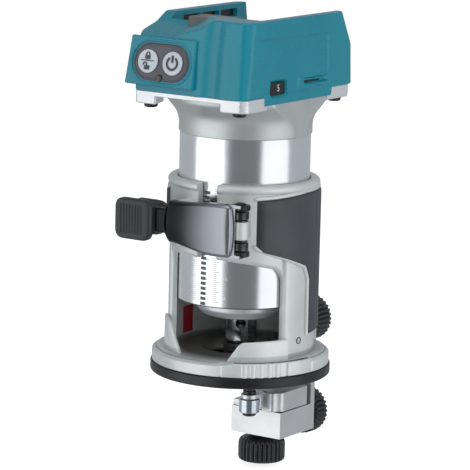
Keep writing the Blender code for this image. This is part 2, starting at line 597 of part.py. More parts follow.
def pinion():
    """The pinion's toothed end runs in the collar's slit, on a shaft through the left lug."""
    pitch_r = PINION_TEETH * RACK_PITCH / (2 * math.pi)
    outline = []
    for tooth in range(PINION_TEETH):
        middle = 2 * math.pi * tooth / PINION_TEETH
        for radius, half in ((pitch_r - 1.0, 0.55), (pitch_r + 0.8, 0.3), (pitch_r + 0.8, -0.3),
                             (pitch_r - 1.0, -0.55)):
            turn = middle - half / radius
            outline.append((PINION_Y + radius * math.cos(turn), PINION_Z + radius * math.sin(turn)))
    made = plate("pinion", outline, -1.6, 1.9, "YZ", "steel")
    join(made, rod("pinion_shaft", 2.0, (-36.2, PINION_Y, PINION_Z), (1.5, PINION_Y, PINION_Z), sides=20))
    move_origin(made, (0, PINION_Y, PINION_Z))
    fluted_knob("adjusting_knob", (-19.6, PINION_Y, PINION_Z), "-X", 8.7, 19.4, 4.2, 2.3, 18)


# ---- Trimming guide ----

def guide():
    holder = box("guide_holder", (-17.5, HOLDER_FRONT, BLOCK_LOW), (12.5, HOLDER_BACK, BLOCK_TOP),
                 "cast_aluminium")
    join(holder, box("holder_plate", (-12.5, HOLDER_PLATE, -30), (12.5, HOLDER_BACK, 27)),
         box("holder_rail", (-17.5, HOLDER_FRONT + 1.5, -30), (-12.8, HOLDER_PLATE + 1, -21.4)))
    cut(holder, box("holder_hollow", (-9.6, 20.6, -35), (6, 46.4, -20)),
        box("holder_corner", (-30, 49, -60), (-12.5, 60, 0)),
        plate("stud_slot", round_outline(5.8, 14.8, 2.89, (STUD_X, 27.9)), -45, -30),
        plate("clamp_slot", round_outline(6.6, 12, 3.29, (0, CLAMP_A_Z)), 40, 60, "XZ"),
        rod("screw_bore_back", 2.3, (SCREW_X, 40, SCREW_Z), (SCREW_X, 60, SCREW_Z)))

    arm_front = [(-12.4, 44.4), (-12.4, 20.5), (-9.5, 17.5), (9.5, 17.0), (12.0, 19.0), (12.4, 22),
                 (12.4, 44.4)]
    arm = plate("guide_arm", arm_front, ARM_LOW, ARM_TOP, "XY", "cast_aluminium")
    tongue = [(-6, 20)] + [(6.2 * math.cos(math.radians(a)),
                            ROLLER_Y + 6.2 * math.sin(math.radians(a))) for a in range(180, 361,
                                                                                       20)] + [(6, 20)]
    join(arm, plate("tongue", tongue, -16.6, ARM_TOP), box("nut_lug", (-3, 31, -34.7), (5, 38, -20)))
    cut(arm, rod("stud_bore", 2.8, (STUD_X, STUD_Y, -30), (STUD_X, STUD_Y, -17)),
        rod("nut_bore", 2.3, (SCREW_X, 20, SCREW_Z), (SCREW_X, 42, SCREW_Z)),
        rod("roller_bore", 2.2, (0, ROLLER_Y, -20), (0, ROLLER_Y, -10)))
    ring("guide_roller", ROLLER_R, 2.3, ARM_LOW + 0.2, -16.9, "steel", (0, ROLLER_Y, 0), sides=40)
    turned("roller_pin",
           ((0, -12.2), (3.3, -12.2), (3.3, -13.9), (1.9, -13.9), (1.9, -24.3), (3.4, -24.3), (3.4, -25.4),
            (0, -25.4)),
           "dark_steel", (0, ROLLER_Y, 0), sides=24)

    turned("adjusting_screw",
           ((0, 60.4), (2.0, 60.4), (2.0, 46.2), (3.6, 46.2), (3.6, 43.6), (2.0, 43.6), (2.0, 22.4),
            (0, 22.4)),
           "zinc_steel", (SCREW_X, 0, SCREW_Z), "Y", sides=20)
    fluted_knob("adjusting_screw_knob", (SCREW_X, HOLDER_BACK + GAP, SCREW_Z), "Y", 12.3, 12.6, 6.0, 2.3)
    rod("holder_clamp_stud", 2.8, (0, 38.5, CLAMP_A_Z), (0, 63, CLAMP_A_Z), "zinc_steel")
    fluted_knob("holder_clamp_knob", (0, HOLDER_BACK + GAP, CLAMP_A_Z), "Y", 11.8, 16.2, 6.5, 3.1)
    rod("guide_clamp_stud", 2.5, (STUD_X, STUD_Y, -50.2), (STUD_X, STUD_Y, -17.4), "zinc_steel")
    fluted_knob("guide_clamp_knob", (STUD_X, STUD_Y, BLOCK_LOW - GAP), "-Z", 12.0, 15.0, 6.5, 2.8)


def main():
    clear_scene()
    collection(PARTS, False)
    collection(CUTTERS, True)
    sole()
    base_casting()
    grips()
    motor_housing()
    motor_inside()
    rotor()
    head_cover()
    controls()
    clamp_lever()
    clamp_hardware()
    pinion()
    guide()


main()
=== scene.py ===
"""A compact trim router with its trimming guide: the visible finish of each piece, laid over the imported
model in the order in which the tool is put together. Lengths are millimetres until a mesh is laid."""
import math

import bmesh
import bpy
import numpy as np
from mathutils import Matrix, Vector


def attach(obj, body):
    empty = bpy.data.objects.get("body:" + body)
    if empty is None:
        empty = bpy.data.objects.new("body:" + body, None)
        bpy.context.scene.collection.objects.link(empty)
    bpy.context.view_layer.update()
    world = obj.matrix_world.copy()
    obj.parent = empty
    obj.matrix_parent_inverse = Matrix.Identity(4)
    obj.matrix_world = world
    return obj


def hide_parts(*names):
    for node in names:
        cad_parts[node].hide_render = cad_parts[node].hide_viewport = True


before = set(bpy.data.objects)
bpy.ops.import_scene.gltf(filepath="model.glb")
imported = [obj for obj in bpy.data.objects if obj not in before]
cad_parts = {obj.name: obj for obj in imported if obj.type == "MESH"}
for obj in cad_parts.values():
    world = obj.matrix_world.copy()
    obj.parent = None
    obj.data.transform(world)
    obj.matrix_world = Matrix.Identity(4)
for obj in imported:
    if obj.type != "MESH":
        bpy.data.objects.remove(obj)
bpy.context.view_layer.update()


# ---- Sole ----
# A moulded black plastic disc, screwed to the underside of the base by four countersunk screws.
# Its edge is rounded so that it glides, and its face is lightly textured.

MM = 0.001


def grid_faces(rows, columns, around=False, closed=False, start=0):
    """The quads between neighbours of a grid of points, row after row; around joins the last column
    to the first, and closed joins the last row to the first."""
    row = np.arange(rows if closed else rows - 1)[:, None]
    column = np.arange(columns if around else columns - 1)[None, :]
    after, beside = (row + 1) % rows, (column + 1) % columns
    corners = (row * columns + column, row * columns + beside, after * columns + beside,
               after * columns + column)
    return np.stack(corners, -1).reshape(-1, 4) + start


def rounded(corners, radius, closed=True, steps=4):
    """Each corner P becomes the parabola from P - r*before to P + r*after, with P as its control point;
    r is the radius, or 0.45 of the shorter side beside it."""
    corners = np.asarray(corners, float)
    before = corners - np.roll(corners, 1, 0)
    after = np.roll(corners, -1, 0) - corners
    short = np.minimum(np.linalg.norm(before, axis=1), np.linalg.norm(after, axis=1))
    reach = np.minimum(radius, 0.45 * short)[:, None]
    start = corners - before / np.linalg.norm(before, axis=1)[:, None].clip(1e-9) * reach
    end = corners + after / np.linalg.norm(after, axis=1)[:, None].clip(1e-9) * reach
    t = np.linspace(0, 1, steps + 1)[None, :, None]
    curve = (1 - t) ** 2 * start[:, None] + 2 * t * (1 - t) * corners[:, None] + t ** 2 * end[:, None]
    if not closed:
        curve[0], curve[-1] = corners[0], corners[-1]
    return curve.reshape(-1, corners.shape[1])


def turned(profile, sides=128, closed=False, shape=None):
    """Radius and height pairs turned round Z: x = r sin a, y = -r cos a, so that a runs from the front
    towards +X. shape may change the arrays of radius, angle and height before they become points."""
    profile = np.asarray(profile, float)
    angle = np.linspace(0, 2 * math.pi, sides, endpoint=False)[None, :] + 0 * profile[:, :1]
    radius, height = profile[:, :1] + 0 * angle, profile[:, 1:] + 0 * angle
    if shape:
        radius, angle, height = shape(radius, angle, height)
    points = np.stack((radius * np.sin(angle), -radius * np.cos(angle), height), -1).reshape(-1, 3)
    return points, grid_faces(len(profile), sides, True, closed)


def shifted(shape, step):
    """A shape moved by a step in X, Y and Z."""
    return np.asarray(shape[0]) + np.array(step), shape[1]


def end_faces(rows, columns):
    """The faces that close a section carried along: one over its first column and one over its last."""
    return [[row * columns + column for row in range(rows)] for column in (0, columns - 1)]


def add_object(name, data):
    """A new object with this data, linked into the scene."""
    thing = bpy.data.objects.new(name, data)
    bpy.context.scene.collection.objects.link(thing)
    return thing


def lay(name, shapes, finish, body, replaces=(), sharp=38):
    """One piece from (points, faces) pairs in millimetres: doubles merged, normals turned outwards,
    edges sharper than the angle kept crisp. It rides on its body and may stand for CAD nodes."""
    build = bmesh.new()
    for points, faces in shapes:
        part = bpy.data.meshes.new("part")
        corners = faces.tolist() if isinstance(faces, np.ndarray) else faces
        part.from_pydata((np.asarray(points, float) * MM).tolist(), [], corners)
        closed_part = bmesh.new()
        closed_part.from_mesh(part)
        bmesh.ops.remove_doubles(closed_part, verts=closed_part.verts, dist=1e-7)
        bmesh.ops.recalc_face_normals(closed_part, faces=closed_part.faces)
        closed_part.to_mesh(part)
        closed_part.free()
        build.from_mesh(part)
        bpy.data.meshes.remove(part)
    mesh = bpy.data.meshes.new(name)
    build.to_mesh(mesh)
    build.free()
    mesh.shade_smooth()
    mesh.set_sharp_from_angle(angle=math.radians(sharp))
    mesh.materials.append(finish)
    piece = add_object(name, mesh)
    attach(piece, body)
    if replaces:
        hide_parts(*replaces)
    return piece


def surface_group():
    """The skin of a moulded, cast or painted part: a slow mottle mixes two tones of its colour and two
    roughnesses, and a fine noise raises the grain."""
    group = bpy.data.node_groups.new("surface_skin", "ShaderNodeTree")
    for label, kind, value in (
            ("Dark", "Color", (0, 0, 0, 1)), ("Light", "Color", (1, 1, 1, 1)), ("Smooth", "Float", 0.3),
            ("Rough", "Float", 0.5), ("Mottle scale", "Float", 60.0), ("Grain scale", "Float", 1500.0),
            ("Grain height", "Float", 0.00002)):
        group.interface.new_socket(label, in_out="INPUT",
                                   socket_type="NodeSocket" + kind).default_value = value
    for label, kind in (("Colour", "Color"), ("Roughness", "Float"), ("Normal", "Vector")):
        group.interface.new_socket(label, in_out="OUTPUT", socket_type="NodeSocket" + kind)
    new, link = group.nodes.new, group.links.new
    given, out, place = new("NodeGroupInput"), new("NodeGroupOutput"), new("ShaderNodeTexCoord")
    mottle, grain = new("ShaderNodeTexNoise"), new("ShaderNodeTexNoise")
    mottle.inputs["Detail"].default_value = 3.0
    grain.inputs["Detail"].default_value = 2.0
    link(place.outputs["Object"], mottle.inputs["Vector"])
    link(place.outputs["Object"], grain.inputs["Vector"])
    link(given.outputs["Mottle scale"], mottle.inputs["Scale"])
    link(given.outputs["Grain scale"], grain.inputs["Scale"])
    tone = new("ShaderNodeMix")
    tone.data_type = "RGBA"
    spread, sheen = new("ShaderNodeMapRange"), new("ShaderNodeMapRange")
    for stretch in (spread, sheen):
        stretch.inputs["From Min"].default_value = 0.3
        stretch.inputs["From Max"].default_value = 0.7
    link(mottle.outputs["Fac"], spread.inputs["Value"])
    link(spread.outputs["Result"], tone.inputs["Factor"])
    link(given.outputs["Dark"], tone.inputs["A"])
    link(given.outputs["Light"], tone.inputs["B"])
    link(tone.outputs["Result"], out.inputs["Colour"])
    link(grain.outputs["Fac"], sheen.inputs["Value"])
    link(given.outputs["Smooth"], sheen.inputs["To Min"])
    link(given.outputs["Rough"], sheen.inputs["To Max"])
    link(sheen.outputs["Result"], out.inputs["Roughness"])
    bump = new("ShaderNodeBump")
    link(grain.outputs["Fac"], bump.inputs["Height"])
    link(given.outputs["Grain height"], bump.inputs["Distance"])
    link(bump.outputs["Normal"], out.inputs["Normal"])
    return group


SKIN = surface_group()


def skinned(name, dark, light, smooth, rough, metallic=0.0, mottle=60.0, grain=1500.0, height=0.00002,
            coat=0.0):
    """A material with the surface skin in its own tones. Metallic and coat are set on the shader."""
    finish = bpy.data.materials.new(name)
    finish.use_nodes = True
    tree = finish.node_tree
    shader = tree.nodes["Principled BSDF"]
    skin = tree.nodes.new("ShaderNodeGroup")
    skin.node_tree = SKIN
    for label, value in (("Dark", (*dark, 1)), ("Light", (*light, 1)), ("Smooth", smooth), ("Rough", rough),
                         ("Mottle scale", mottle), ("Grain scale", grain), ("Grain height", height)):
        skin.inputs[label].default_value = value
    for label, socket in (("Colour", "Base Color"), ("Roughness", "Roughness"), ("Normal", "Normal")):
        tree.links.new(skin.outputs[label], shader.inputs[socket])
    shader.inputs["Metallic"].default_value = metallic
    shader.inputs["Coat Weight"].default_value = coat
    shader.inputs["Coat Roughness"].default_value = 0.08
    return finish


black_plastic = skinned("black_plastic", (0.004, 0.004, 0.005), (0.009, 0.009, 0.01), 0.32, 0.46, grain=2200)
dark_steel = skinned("blackened_steel", (0.02, 0.02, 0.022), (0.06, 0.06, 0.065), 0.25, 0.45, metallic=0.9)

SOLE_R, SOLE_THICK, SOLE_HOLE = 45.0, 5.3, 16.0
SCREW_RING = 26.0


def sole_underside(radius, angle, height):
    """Countersinks: a point of the underside rises by (4.3 - its distance from the screw), up to 2.4."""
    x, y = radius * np.sin(angle), -radius * np.cos(angle)
    rise = 0 * height
    for quarter in range(4):
        turn = math.radians(90 * quarter + 45)
        away = np.hypot(x - SCREW_RING * math.sin(turn), y + SCREW_RING * math.cos(turn))
        rise = np.maximum(rise, np.clip(4.3 - away, 0, 2.4))
    return radius, angle, height + rise * (height < 0.05)


sole_edge = rounded([(44.0, 0), (SOLE_R, 0.8), (SOLE_R, SOLE_THICK), (SOLE_HOLE, SOLE_THICK),
                     (SOLE_HOLE, 0)], 0.5)
sole_face = np.stack((np.linspace(SOLE_HOLE + 0.6, 43.4, 70), np.zeros(70)), -1)
lay("sole_disc", [turned(np.concatenate((sole_face, sole_edge)), 360, True, sole_underside)],
    black_plastic, "base", ["sub_base"])


def dress(finish, *nodes):
    """Gives CAD nodes that keep their own shape a finish."""
    for node in nodes:
        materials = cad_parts[node].data.materials
        materials.clear()
        materials.append(finish)


dress(dark_steel, *[f"sub_base_screw_{number}" for number in range(1, 5)])


# ---- Base casting ----
# One aluminium die casting, painted silver: a split collar on two columns over a round flange, with low
# fences against chips, two clamp lugs at the slit, a boss for the depth pinion and one for the guide.

cast_silver = skinned("painted_casting", (0.66, 0.69, 0.685), (0.76, 0.79, 0.785), 0.34, 0.48, metallic=0.35,
                      mottle=45, grain=1300, height=0.00004)


def skin_of(tree):
    """The surface skin's node in a material."""
    return next(node for node in tree.nodes if node.type == "GROUP")


def shade_inside(finish, radius, tone):
    """Paints shade into a finish: a darker tone low down and inward of a radius round Z, inside the casting.
    It fades out from 3 inside the radius to 9 outside it, and above the flange."""
    tree = finish.node_tree
    shader, skin = tree.nodes["Principled BSDF"], skin_of(tree)
    new, link = tree.nodes.new, tree.links.new
    place, flat, length = new("ShaderNodeTexCoord"), new("ShaderNodeVectorMath"), new("ShaderNodeVectorMath")
    flat.operation, length.operation = "MULTIPLY", "LENGTH"
    flat.inputs[1].default_value = (1, 1, 0)
    link(place.outputs["Object"], flat.inputs[0])
    link(flat.outputs["Vector"], length.inputs[0])
    fade, mix = new("ShaderNodeMapRange"), new("ShaderNodeMix")
    fade.inputs["From Min"].default_value = (radius - 3) * MM
    fade.inputs["From Max"].default_value = (radius + 9) * MM
    link(length.outputs["Value"], fade.inputs["Value"])
    split, rise, most = new("ShaderNodeSeparateXYZ"), new("ShaderNodeMapRange"), new("ShaderNodeMath")
    rise.inputs["From Min"].default_value = 12.8 * MM
    rise.inputs["From Max"].default_value = 15.0 * MM
    most.operation = "MAXIMUM"
    link(place.outputs["Object"], split.inputs["Vector"])
    link(split.outputs["Z"], rise.inputs["Value"])
    link(rise.outputs["Result"], most.inputs[0])
    link(fade.outputs["Result"], most.inputs[1])
    mix.data_type = "RGBA"
    mix.inputs["A"].default_value = (*tone, 1)
    link(most.outputs["Value"], mix.inputs["Factor"])
    link(skin.outputs["Colour"], mix.inputs["B"])
    link(mix.outputs["Result"], shader.inputs["Base Color"])


BORE_R, COLLAR_R, COLLAR_TOP, FLANGE_TOP = 32.9, 36.5, 99.0, 12.6
SLIT_LEFT, SLIT_RIGHT = math.degrees(math.asin(-2.0 / 36.5)), math.degrees(math.asin(8.6 / 36.5))
WINDOW_LEFT, WINDOW_RIGHT = -43.0, 69.0
CORNER_RIGHT, CORNER_LEFT = 6.0, 3.5


def collar_wall():
    """The split wall as one closed section carried round: for each angle it climbs the outer face from
    the window's edge, rolls over the rim and comes down inside. The window's corners are quarter
    circles, and the outer face draws in by a parabola within 2.4 of the window's edge."""
    edge = np.array([0.001, 0.25, 0.55, 0.95, 1.4, 1.9, 2.4, 3.2, 4.2, 5.2, 6.1, 7.5])
    beside = edge / COLLAR_R * 180 / math.pi
    angle = np.unique(np.concatenate((
        np.linspace(SLIT_RIGHT, 360 + SLIT_LEFT, 220), WINDOW_RIGHT - beside, WINDOW_RIGHT + beside,
        360 + WINDOW_LEFT - beside, 360 + WINDOW_LEFT + beside)))
    angle = angle[(angle >= SLIT_RIGHT) & (angle <= 360 + SLIT_LEFT)]
    signed = np.where(angle > 180, angle - 360, angle)
    to_right = (WINDOW_RIGHT - signed) * math.pi / 180 * COLLAR_R
    to_left = (signed - WINDOW_LEFT) * math.pi / 180 * COLLAR_R
    inside = (to_right > 0) & (to_left > 0)
    top = np.interp(signed, (-43, 0, 20, 40, 60, 69), (62, 62, 61.8, 60.2, 57.6, 56.0))
    for corner, away in ((CORNER_RIGHT, to_right), (CORNER_LEFT, to_left)):
        share = np.clip((corner - away.clip(0)) / corner, 0, 1)
        top = top - np.where(away < corner, corner * (1 - np.sqrt(1 - share ** 2)), 0)
    top = np.where(inside, top, np.interp(angle, angle[inside], top[inside]))
    low = np.where(inside, top, FLANGE_TOP - 2)
    side = np.minimum(np.abs(to_right), np.abs(to_left))
    rim = np.radians(np.linspace(-62, 90, 12))
    rows = [(COLLAR_R + 0 * angle, low)]
    rows += [(COLLAR_R + 0 * angle, top + up) for up in edge[1:7]]
    rows += [(COLLAR_R + 0 * angle, top * (1 - f) + 94.2 * f) for f in (0.3, 0.6, 1.0)]
    rows += [(35.6 + 2.2 * math.cos(a) + 0 * angle, 96.8 + 2.2 * math.sin(a) + 0 * angle) for a in rim]
    rows += [(33.7 + 0 * angle, COLLAR_TOP + 0 * angle), (BORE_R + 0.1 + 0 * angle, 98.4 + 0 * angle),
             (BORE_R + 0 * angle, 97.6 + 0 * angle), (BORE_R + 0 * angle, top + 3), (BORE_R + 0 * angle, low)]
    radius, height = np.array([r for r, _ in rows]), np.array([z for _, z in rows])
    above = np.where(inside, height - top, 99.0)
    near = np.where(inside, np.minimum(side, above.clip(0)), side)
    outer = radius > COLLAR_R - 0.01
    radius = np.where(outer & (height < 94.3), radius - 1.3 * np.clip(1 - near / 2.4, 0, 1) ** 2, radius)
    turn = np.radians(angle)[None, :]
    points = np.stack((radius * np.sin(turn), -radius * np.cos(turn), height), -1)
    count, columns = radius.shape
    return points.reshape(-1, 3), grid_faces(count, columns, closed=True).tolist() + end_faces(count, columns)


def flange_rim(radius, angle, height):
    """The rim's parapet between 22 and 87 degrees, five rounded ribs on it, and a groove at each end;
    elsewhere the rim slopes away. A rib is a raised half cosine 2.2 degrees to each side."""
    turn = np.degrees(angle)
    parapet = np.clip((turn - 21) / 9, 0, 1) * np.clip((88 - turn) / 1.0, 0, 1)
    rim = (radius > 41.9) & (height > 9)
    height = height - rim * (1 - parapet) * 1.5 * np.clip((radius - 41.9) / 2.0, 0, 1)
    outside = radius > 43.4
    for middle in (37, 42.5, 48, 53.5, 59):
        radius = radius + outside * 0.65 * np.sqrt(np.clip(1 - ((turn - middle) / 2.0) ** 2, 0, 1))
    for middle in (21.5, 66.0, 87.5):
        radius = radius - outside * 0.5 * np.exp(-((turn - middle) / 0.55) ** 2)
    return radius, angle, height


def fence(tops):
    """A low wall on the flange: a rounded section whose top follows (angle, height) pairs."""
    angle = np.linspace(tops[0][0], tops[-1][0], 60)
    top = np.interp(angle, [a for a, _ in tops], [z for _, z in tops])
    side = [(38.5, 11.0, 0), (38.3, -1.0, 1), (38.1, -0.35, 1), (37.7, 0, 1), (37.0, 0, 1), (36.6, -0.35, 1),
            (36.5, -1.0, 1), (36.3, 11.0, 0)]
    turn = np.radians(angle)
    rings = [np.stack((r * np.sin(turn), -r * np.cos(turn), np.where(follow, top + z, z)), -1)
             for r, z, follow in side]
    count, columns = len(side), len(angle)
    faces = grid_faces(count, columns, closed=True).tolist() + end_faces(count, columns)
    return np.concatenate(rings), faces


PLANES = {"XY": (0, 1, 2), "XZ": (0, 2, 1), "YZ": (1, 2, 0)}


def slab(outline, low, high, plane="XY", edge=0.6, corner=1.0, steps=4):
    """A flat outline carried from low to high across its plane. At both ends it draws in along its own
    normals by edge * (1 - cos a) while it rises by edge * (1 - sin a), a quarter turn of a."""
    ring = rounded(outline, corner) if corner else np.asarray(outline, float)
    along = np.roll(ring, -1, 0) - np.roll(ring, 1, 0)
    normal = np.stack((along[:, 1], -along[:, 0]), -1) / np.linalg.norm(along, axis=1)[:, None].clip(1e-9)
    area = np.sum(ring[:, 0] * np.roll(ring[:, 1], -1) - ring[:, 1] * np.roll(ring[:, 0], -1))
    normal = normal * np.sign(area)
    turn = np.linspace(0, math.pi / 2, steps + 1)
    drawn = edge * (1 - np.sin(turn))
    rise = edge * (1 - np.cos(turn))
    inset = np.concatenate((drawn, drawn[::-1]))
    level = np.concatenate((low + rise, high - rise[::-1]))
    flat = ring[None] - normal[None] * inset[:, None, None]
    points = np.empty((*flat.shape[:2], 3))
    u, v, w = PLANES[plane]
    points[..., u], points[..., v], points[..., w] = flat[..., 0], flat[..., 1], level[:, None]
    count, columns = flat.shape[:2]
    caps = [list(range(columns)), list(range((count - 1) * columns, count * columns))]
    return points.reshape(-1, 3), grid_faces(count, columns, around=True).tolist() + caps


def block(low, high, edge=0.8, corner=1.0, plane="XY"):
    """A box with soft edges, from its low and high corners."""
    u, v, w = PLANES[plane]
    outline = [(low[u], low[v]), (high[u], low[v]), (high[u], high[v]), (low[u], high[v])]
    return slab(outline, low[w], high[w], plane, edge, corner)


def facing(shape, direction, origin):
    """Turns a shape made round Z so that its Z runs along a direction, and moves it to an origin."""
    turn = np.array(Vector(direction).to_track_quat("Z", "Y").to_matrix())
    return np.asarray(shape[0]) @ turn.T + np.array(origin), shape[1]


flange = rounded([(20, 5.6), (44.3, 5.6), (44.3, FLANGE_TOP), (42.2, FLANGE_TOP), (20, FLANGE_TOP)], 0.5)
flange = np.insert(flange, 15, [(42.0, FLANGE_TOP), (41.0, FLANGE_TOP)], 0)
PINION_Y, PINION_Z = -35.7, 79.0
lay("base_body", [
    collar_wall(), turned(flange, 720, True, flange_rim),
    fence(((24.5, 12.7), (33, 20.6), (36, 21.8), (50, 22.2), (72, 22.6))),
    fence(((-48, 29), (-36, 27.6), (-33, 26), (-17, 12.7))),
    block((-11, -42, 67.6), (-2.0, -33.0, 90.4), 1.0, 1.6),
    block((8.6, -41.3, 67.6), (17, -31.4, 90.4), 1.0, 1.6),
    facing(turned(rounded([(0, 0), (4.5, 0), (4.5, 13), (0, 13)], 0.7, False), 48), (-1, 0, 0),
           (-6, PINION_Y, PINION_Z)),
    block((-10, 33.6, 7.5), (10, 46.4, 27), 1.2, 2.0, "XZ"),
    slab([(28.9, -38.5), (28.0, -35.6), (26.0, -31.0), (20.0, -33.0), (20.2, -39.6), (22.2, -42.2),
          (25.6, -42.6), (28.0, -41.0)],
         74.6, 83.6, edge=0.7, corner=1.4),
], cast_silver, "base", ["base_casting"])
# The low inside of the casting, inward of the bore, gets painted shade.
shade_inside(cast_silver, 32.8, (0.13, 0.13, 0.118))

# The blind hole low on the right column takes a set screw, seen as a dark recess with a bright lip.
lay("column_hole",
    [facing(turned([(0, 0.1), (1.35, 0.1), (1.35, 0.45), (1.6, 0.45), (1.75, 0.2), (1.75, -1.5),
                    (0, -1.5)], 32), (1, -0.07, 0), (36.25, -2.7, 20.5))], dark_steel, "base")

# A red plastic insert fills a pocket inside the left column.
red_plastic = skinned("red_plastic", (0.33, 0.012, 0.02), (0.42, 0.02, 0.03), 0.3, 0.42)


def arc_plate(inner, outer, angles, low, high, edge=0.4):
    """A curved plate: its section is an inner and an outer arc, and it draws in at both ends."""
    start, end = np.radians(angles)
    turn = np.linspace(start, end, 40)
    outline = np.concatenate((np.stack((outer * np.sin(turn), -outer * np.cos(turn)), -1),
                              np.stack((inner * np.sin(turn[::-1]), -inner * np.cos(turn[::-1])), -1)))
    return slab(outline, low, high, "XY", edge, 0)


lay("insert_plate", [arc_plate(32.72, 34.9, (-97.4, -82.6), 14.6, 28.5)], red_plastic, "base",
    ["red_insert"])


# ---- Side grips ----
# A soft grey elastomer pad is moulded onto each side of the collar and runs down the column as a narrow
# strip. A raised silver border frames it, and shallow grooves run down its face.

grip_rubber = skinned("grip_rubber", (0.045, 0.05, 0.058), (0.06, 0.065, 0.073), 0.42, 0.58, grain=2600,
                      height=0.00004)

GRIP_IN, GRIP_OUT, GRIP_LOW, GRIP_TOP, GRIP_BACK = 36.6, 38.4, 22.8, 94.0, 24.0


def grip_front(z, edge):
    """The y of the pad's front border at a height: wide above, a slant, a bend, then the narrow strip."""
    return np.interp(z, (22.8, 50.5, 53.5, 57.4, 68.0, 69.4), (4.0, 3.8, 2.6, 0.5, edge + 0.8, edge))


def grip(side, edge):
    """A pad on the cylinder: x follows from y and the radius. The radius grows from the border by a
    quarter ellipse within 1.6, and three grooves 0.35 deep run down the face."""
    down, across = np.linspace(0, 1, 150)[:, None], np.linspace(0, 1, 90)[None, :]
    across = 0.5 - 0.5 * np.cos(across * math.pi)
    down = np.where(down < 0.5, 0.5 * (down * 2) ** 1.4, 1 - 0.5 * ((1 - down) * 2).clip(0) ** 1.4)
    plain_z = GRIP_LOW + (GRIP_TOP - GRIP_LOW) * down
    front = grip_front(plain_z, edge)
    y = front + (GRIP_BACK - front) * across
    top = np.interp(y, (-26, 0, 24), (91.8, 94.0, 94.0))
    z = GRIP_LOW + (top - GRIP_LOW) * down
    away = np.minimum.reduce((y - front, GRIP_BACK - y, z - GRIP_LOW, top - z)).clip(0)
    rise = np.sqrt(np.clip(1 - (1 - np.minimum(away / 1.6, 1)) ** 2, 0, 1))
    groove = sum(np.exp(-((y - at) / 0.45) ** 2) for at in (9.0, 14.0, 19.0)) * np.clip(away / 3, 0, 1)
    radius = GRIP_IN + (GRIP_OUT - GRIP_IN) * rise - 0.35 * groove
    face = np.stack((side * np.sqrt(radius ** 2 - y ** 2), y, z), -1)
    back = np.stack((side * np.sqrt((GRIP_IN - 1.2) ** 2 - y ** 2), y, z), -1)
    rows, columns = z.shape
    points = np.concatenate((face.reshape(-1, 3), back.reshape(-1, 3)))
    faces = np.concatenate((grid_faces(rows, columns), grid_faces(rows, columns, start=rows * columns)))
    border = np.concatenate((np.arange(columns), np.arange(1, rows) * columns + columns - 1,
                             (rows - 1) * columns + np.arange(columns - 2, -1, -1),
                             np.arange(rows - 2, 0, -1) * columns))
    after = np.roll(border, -1)
    rim = np.stack((border, after, after + rows * columns, border + rows * columns), -1)
    return points, np.concatenate((faces, rim))


def tube(path, radius, sides=12, closed=False, flat=1.0, up=(0, 0, 1)):
    """A round section carried along a path of points; flat squashes it along the up direction."""
    path = np.asarray(path, float)
    along = np.roll(path, -1, 0) - np.roll(path, 1, 0)
    if not closed:
        along[0], along[-1] = path[1] - path[0], path[-1] - path[-2]
    along /= np.linalg.norm(along, axis=1)[:, None]
    up = np.asarray(up, float) if np.ndim(up) > 1 else np.tile(up, (len(path), 1)).astype(float)
    side = np.cross(along, up)
    side /= np.linalg.norm(side, axis=1)[:, None].clip(1e-6)
    rise = np.cross(side, along)
    turn = np.linspace(0, 2 * math.pi, sides, endpoint=False)[None, :, None]
    points = path[:, None] + radius * (np.cos(turn) * side[:, None] + flat * np.sin(turn) * rise[:, None])
    faces = grid_faces(len(path), sides, around=True, closed=closed).tolist()
    if not closed:
        faces += [list(range(sides)), list(range((len(path) - 1) * sides, len(path) * sides))]
    return points.reshape(-1, 3), faces


for side, edge, node in ((1, -26.0, "grip_right"), (-1, -22.0, "grip_left")):
    lay(node + "_pad", [grip(side, edge)], grip_rubber, "base", [node], sharp=60)
    z = np.linspace(GRIP_LOW, 92.4, 120)
    y = grip_front(z, edge) - 0.9
    frame_y = np.concatenate((y, np.linspace(y[-1] + 0.6, 24.0, 60)))
    frame_z = np.concatenate((z, np.interp(frame_y[len(z):], (-26, 0, 24), (92.9, 95.0, 95.0))))
    path = np.stack((side * np.sqrt(37.0 ** 2 - frame_y ** 2), frame_y, frame_z), -1)
    lay(node + "_border", [tube(path, 1.0, 12)], cast_silver, "base", sharp=60)


# ---- Motor housing ----
# An aluminium tube turned to a polish that slides in the collar, with a rack of slots cut down its front
# and depth marks engraved beside it. Its neck flares as cast to a flat plate that carries the head.

TUBE_R, TUBE_LOW, TUBE_TOP = 32.5, 37.2, 121.0
RACK_PITCH, RACK_TEETH, RACK_HALF = 2.513, 23, 2.4


def turned_metal(name, dark, light, smooth, rough, lines=4200.0, height=0.000004, metallic=1.0):
    """Bare metal with the fine rings that a lathe tool leaves: a noise that changes only along Z."""
    finish = skinned(name, dark, light, smooth, rough, metallic, mottle=30, grain=2500, height=0.000003)
    tree = finish.node_tree
    new, link = tree.nodes.new, tree.links.new
    place, flat, rings, bump = (new("ShaderNodeTexCoord"), new("ShaderNodeVectorMath"),
                                new("ShaderNodeTexNoise"),
                                new("ShaderNodeBump"))
    flat.operation = "MULTIPLY"
    flat.inputs[1].default_value = (0.02, 0.02, 1)
    rings.inputs["Scale"].default_value = lines
    bump.inputs["Distance"].default_value = height
    link(place.outputs["Object"], flat.inputs[0])
    link(flat.outputs["Vector"], rings.inputs["Vector"])
    link(rings.outputs["Fac"], bump.inputs["Height"])
    link(bump.outputs["Normal"], tree.nodes["Principled BSDF"].inputs["Normal"])
    return finish


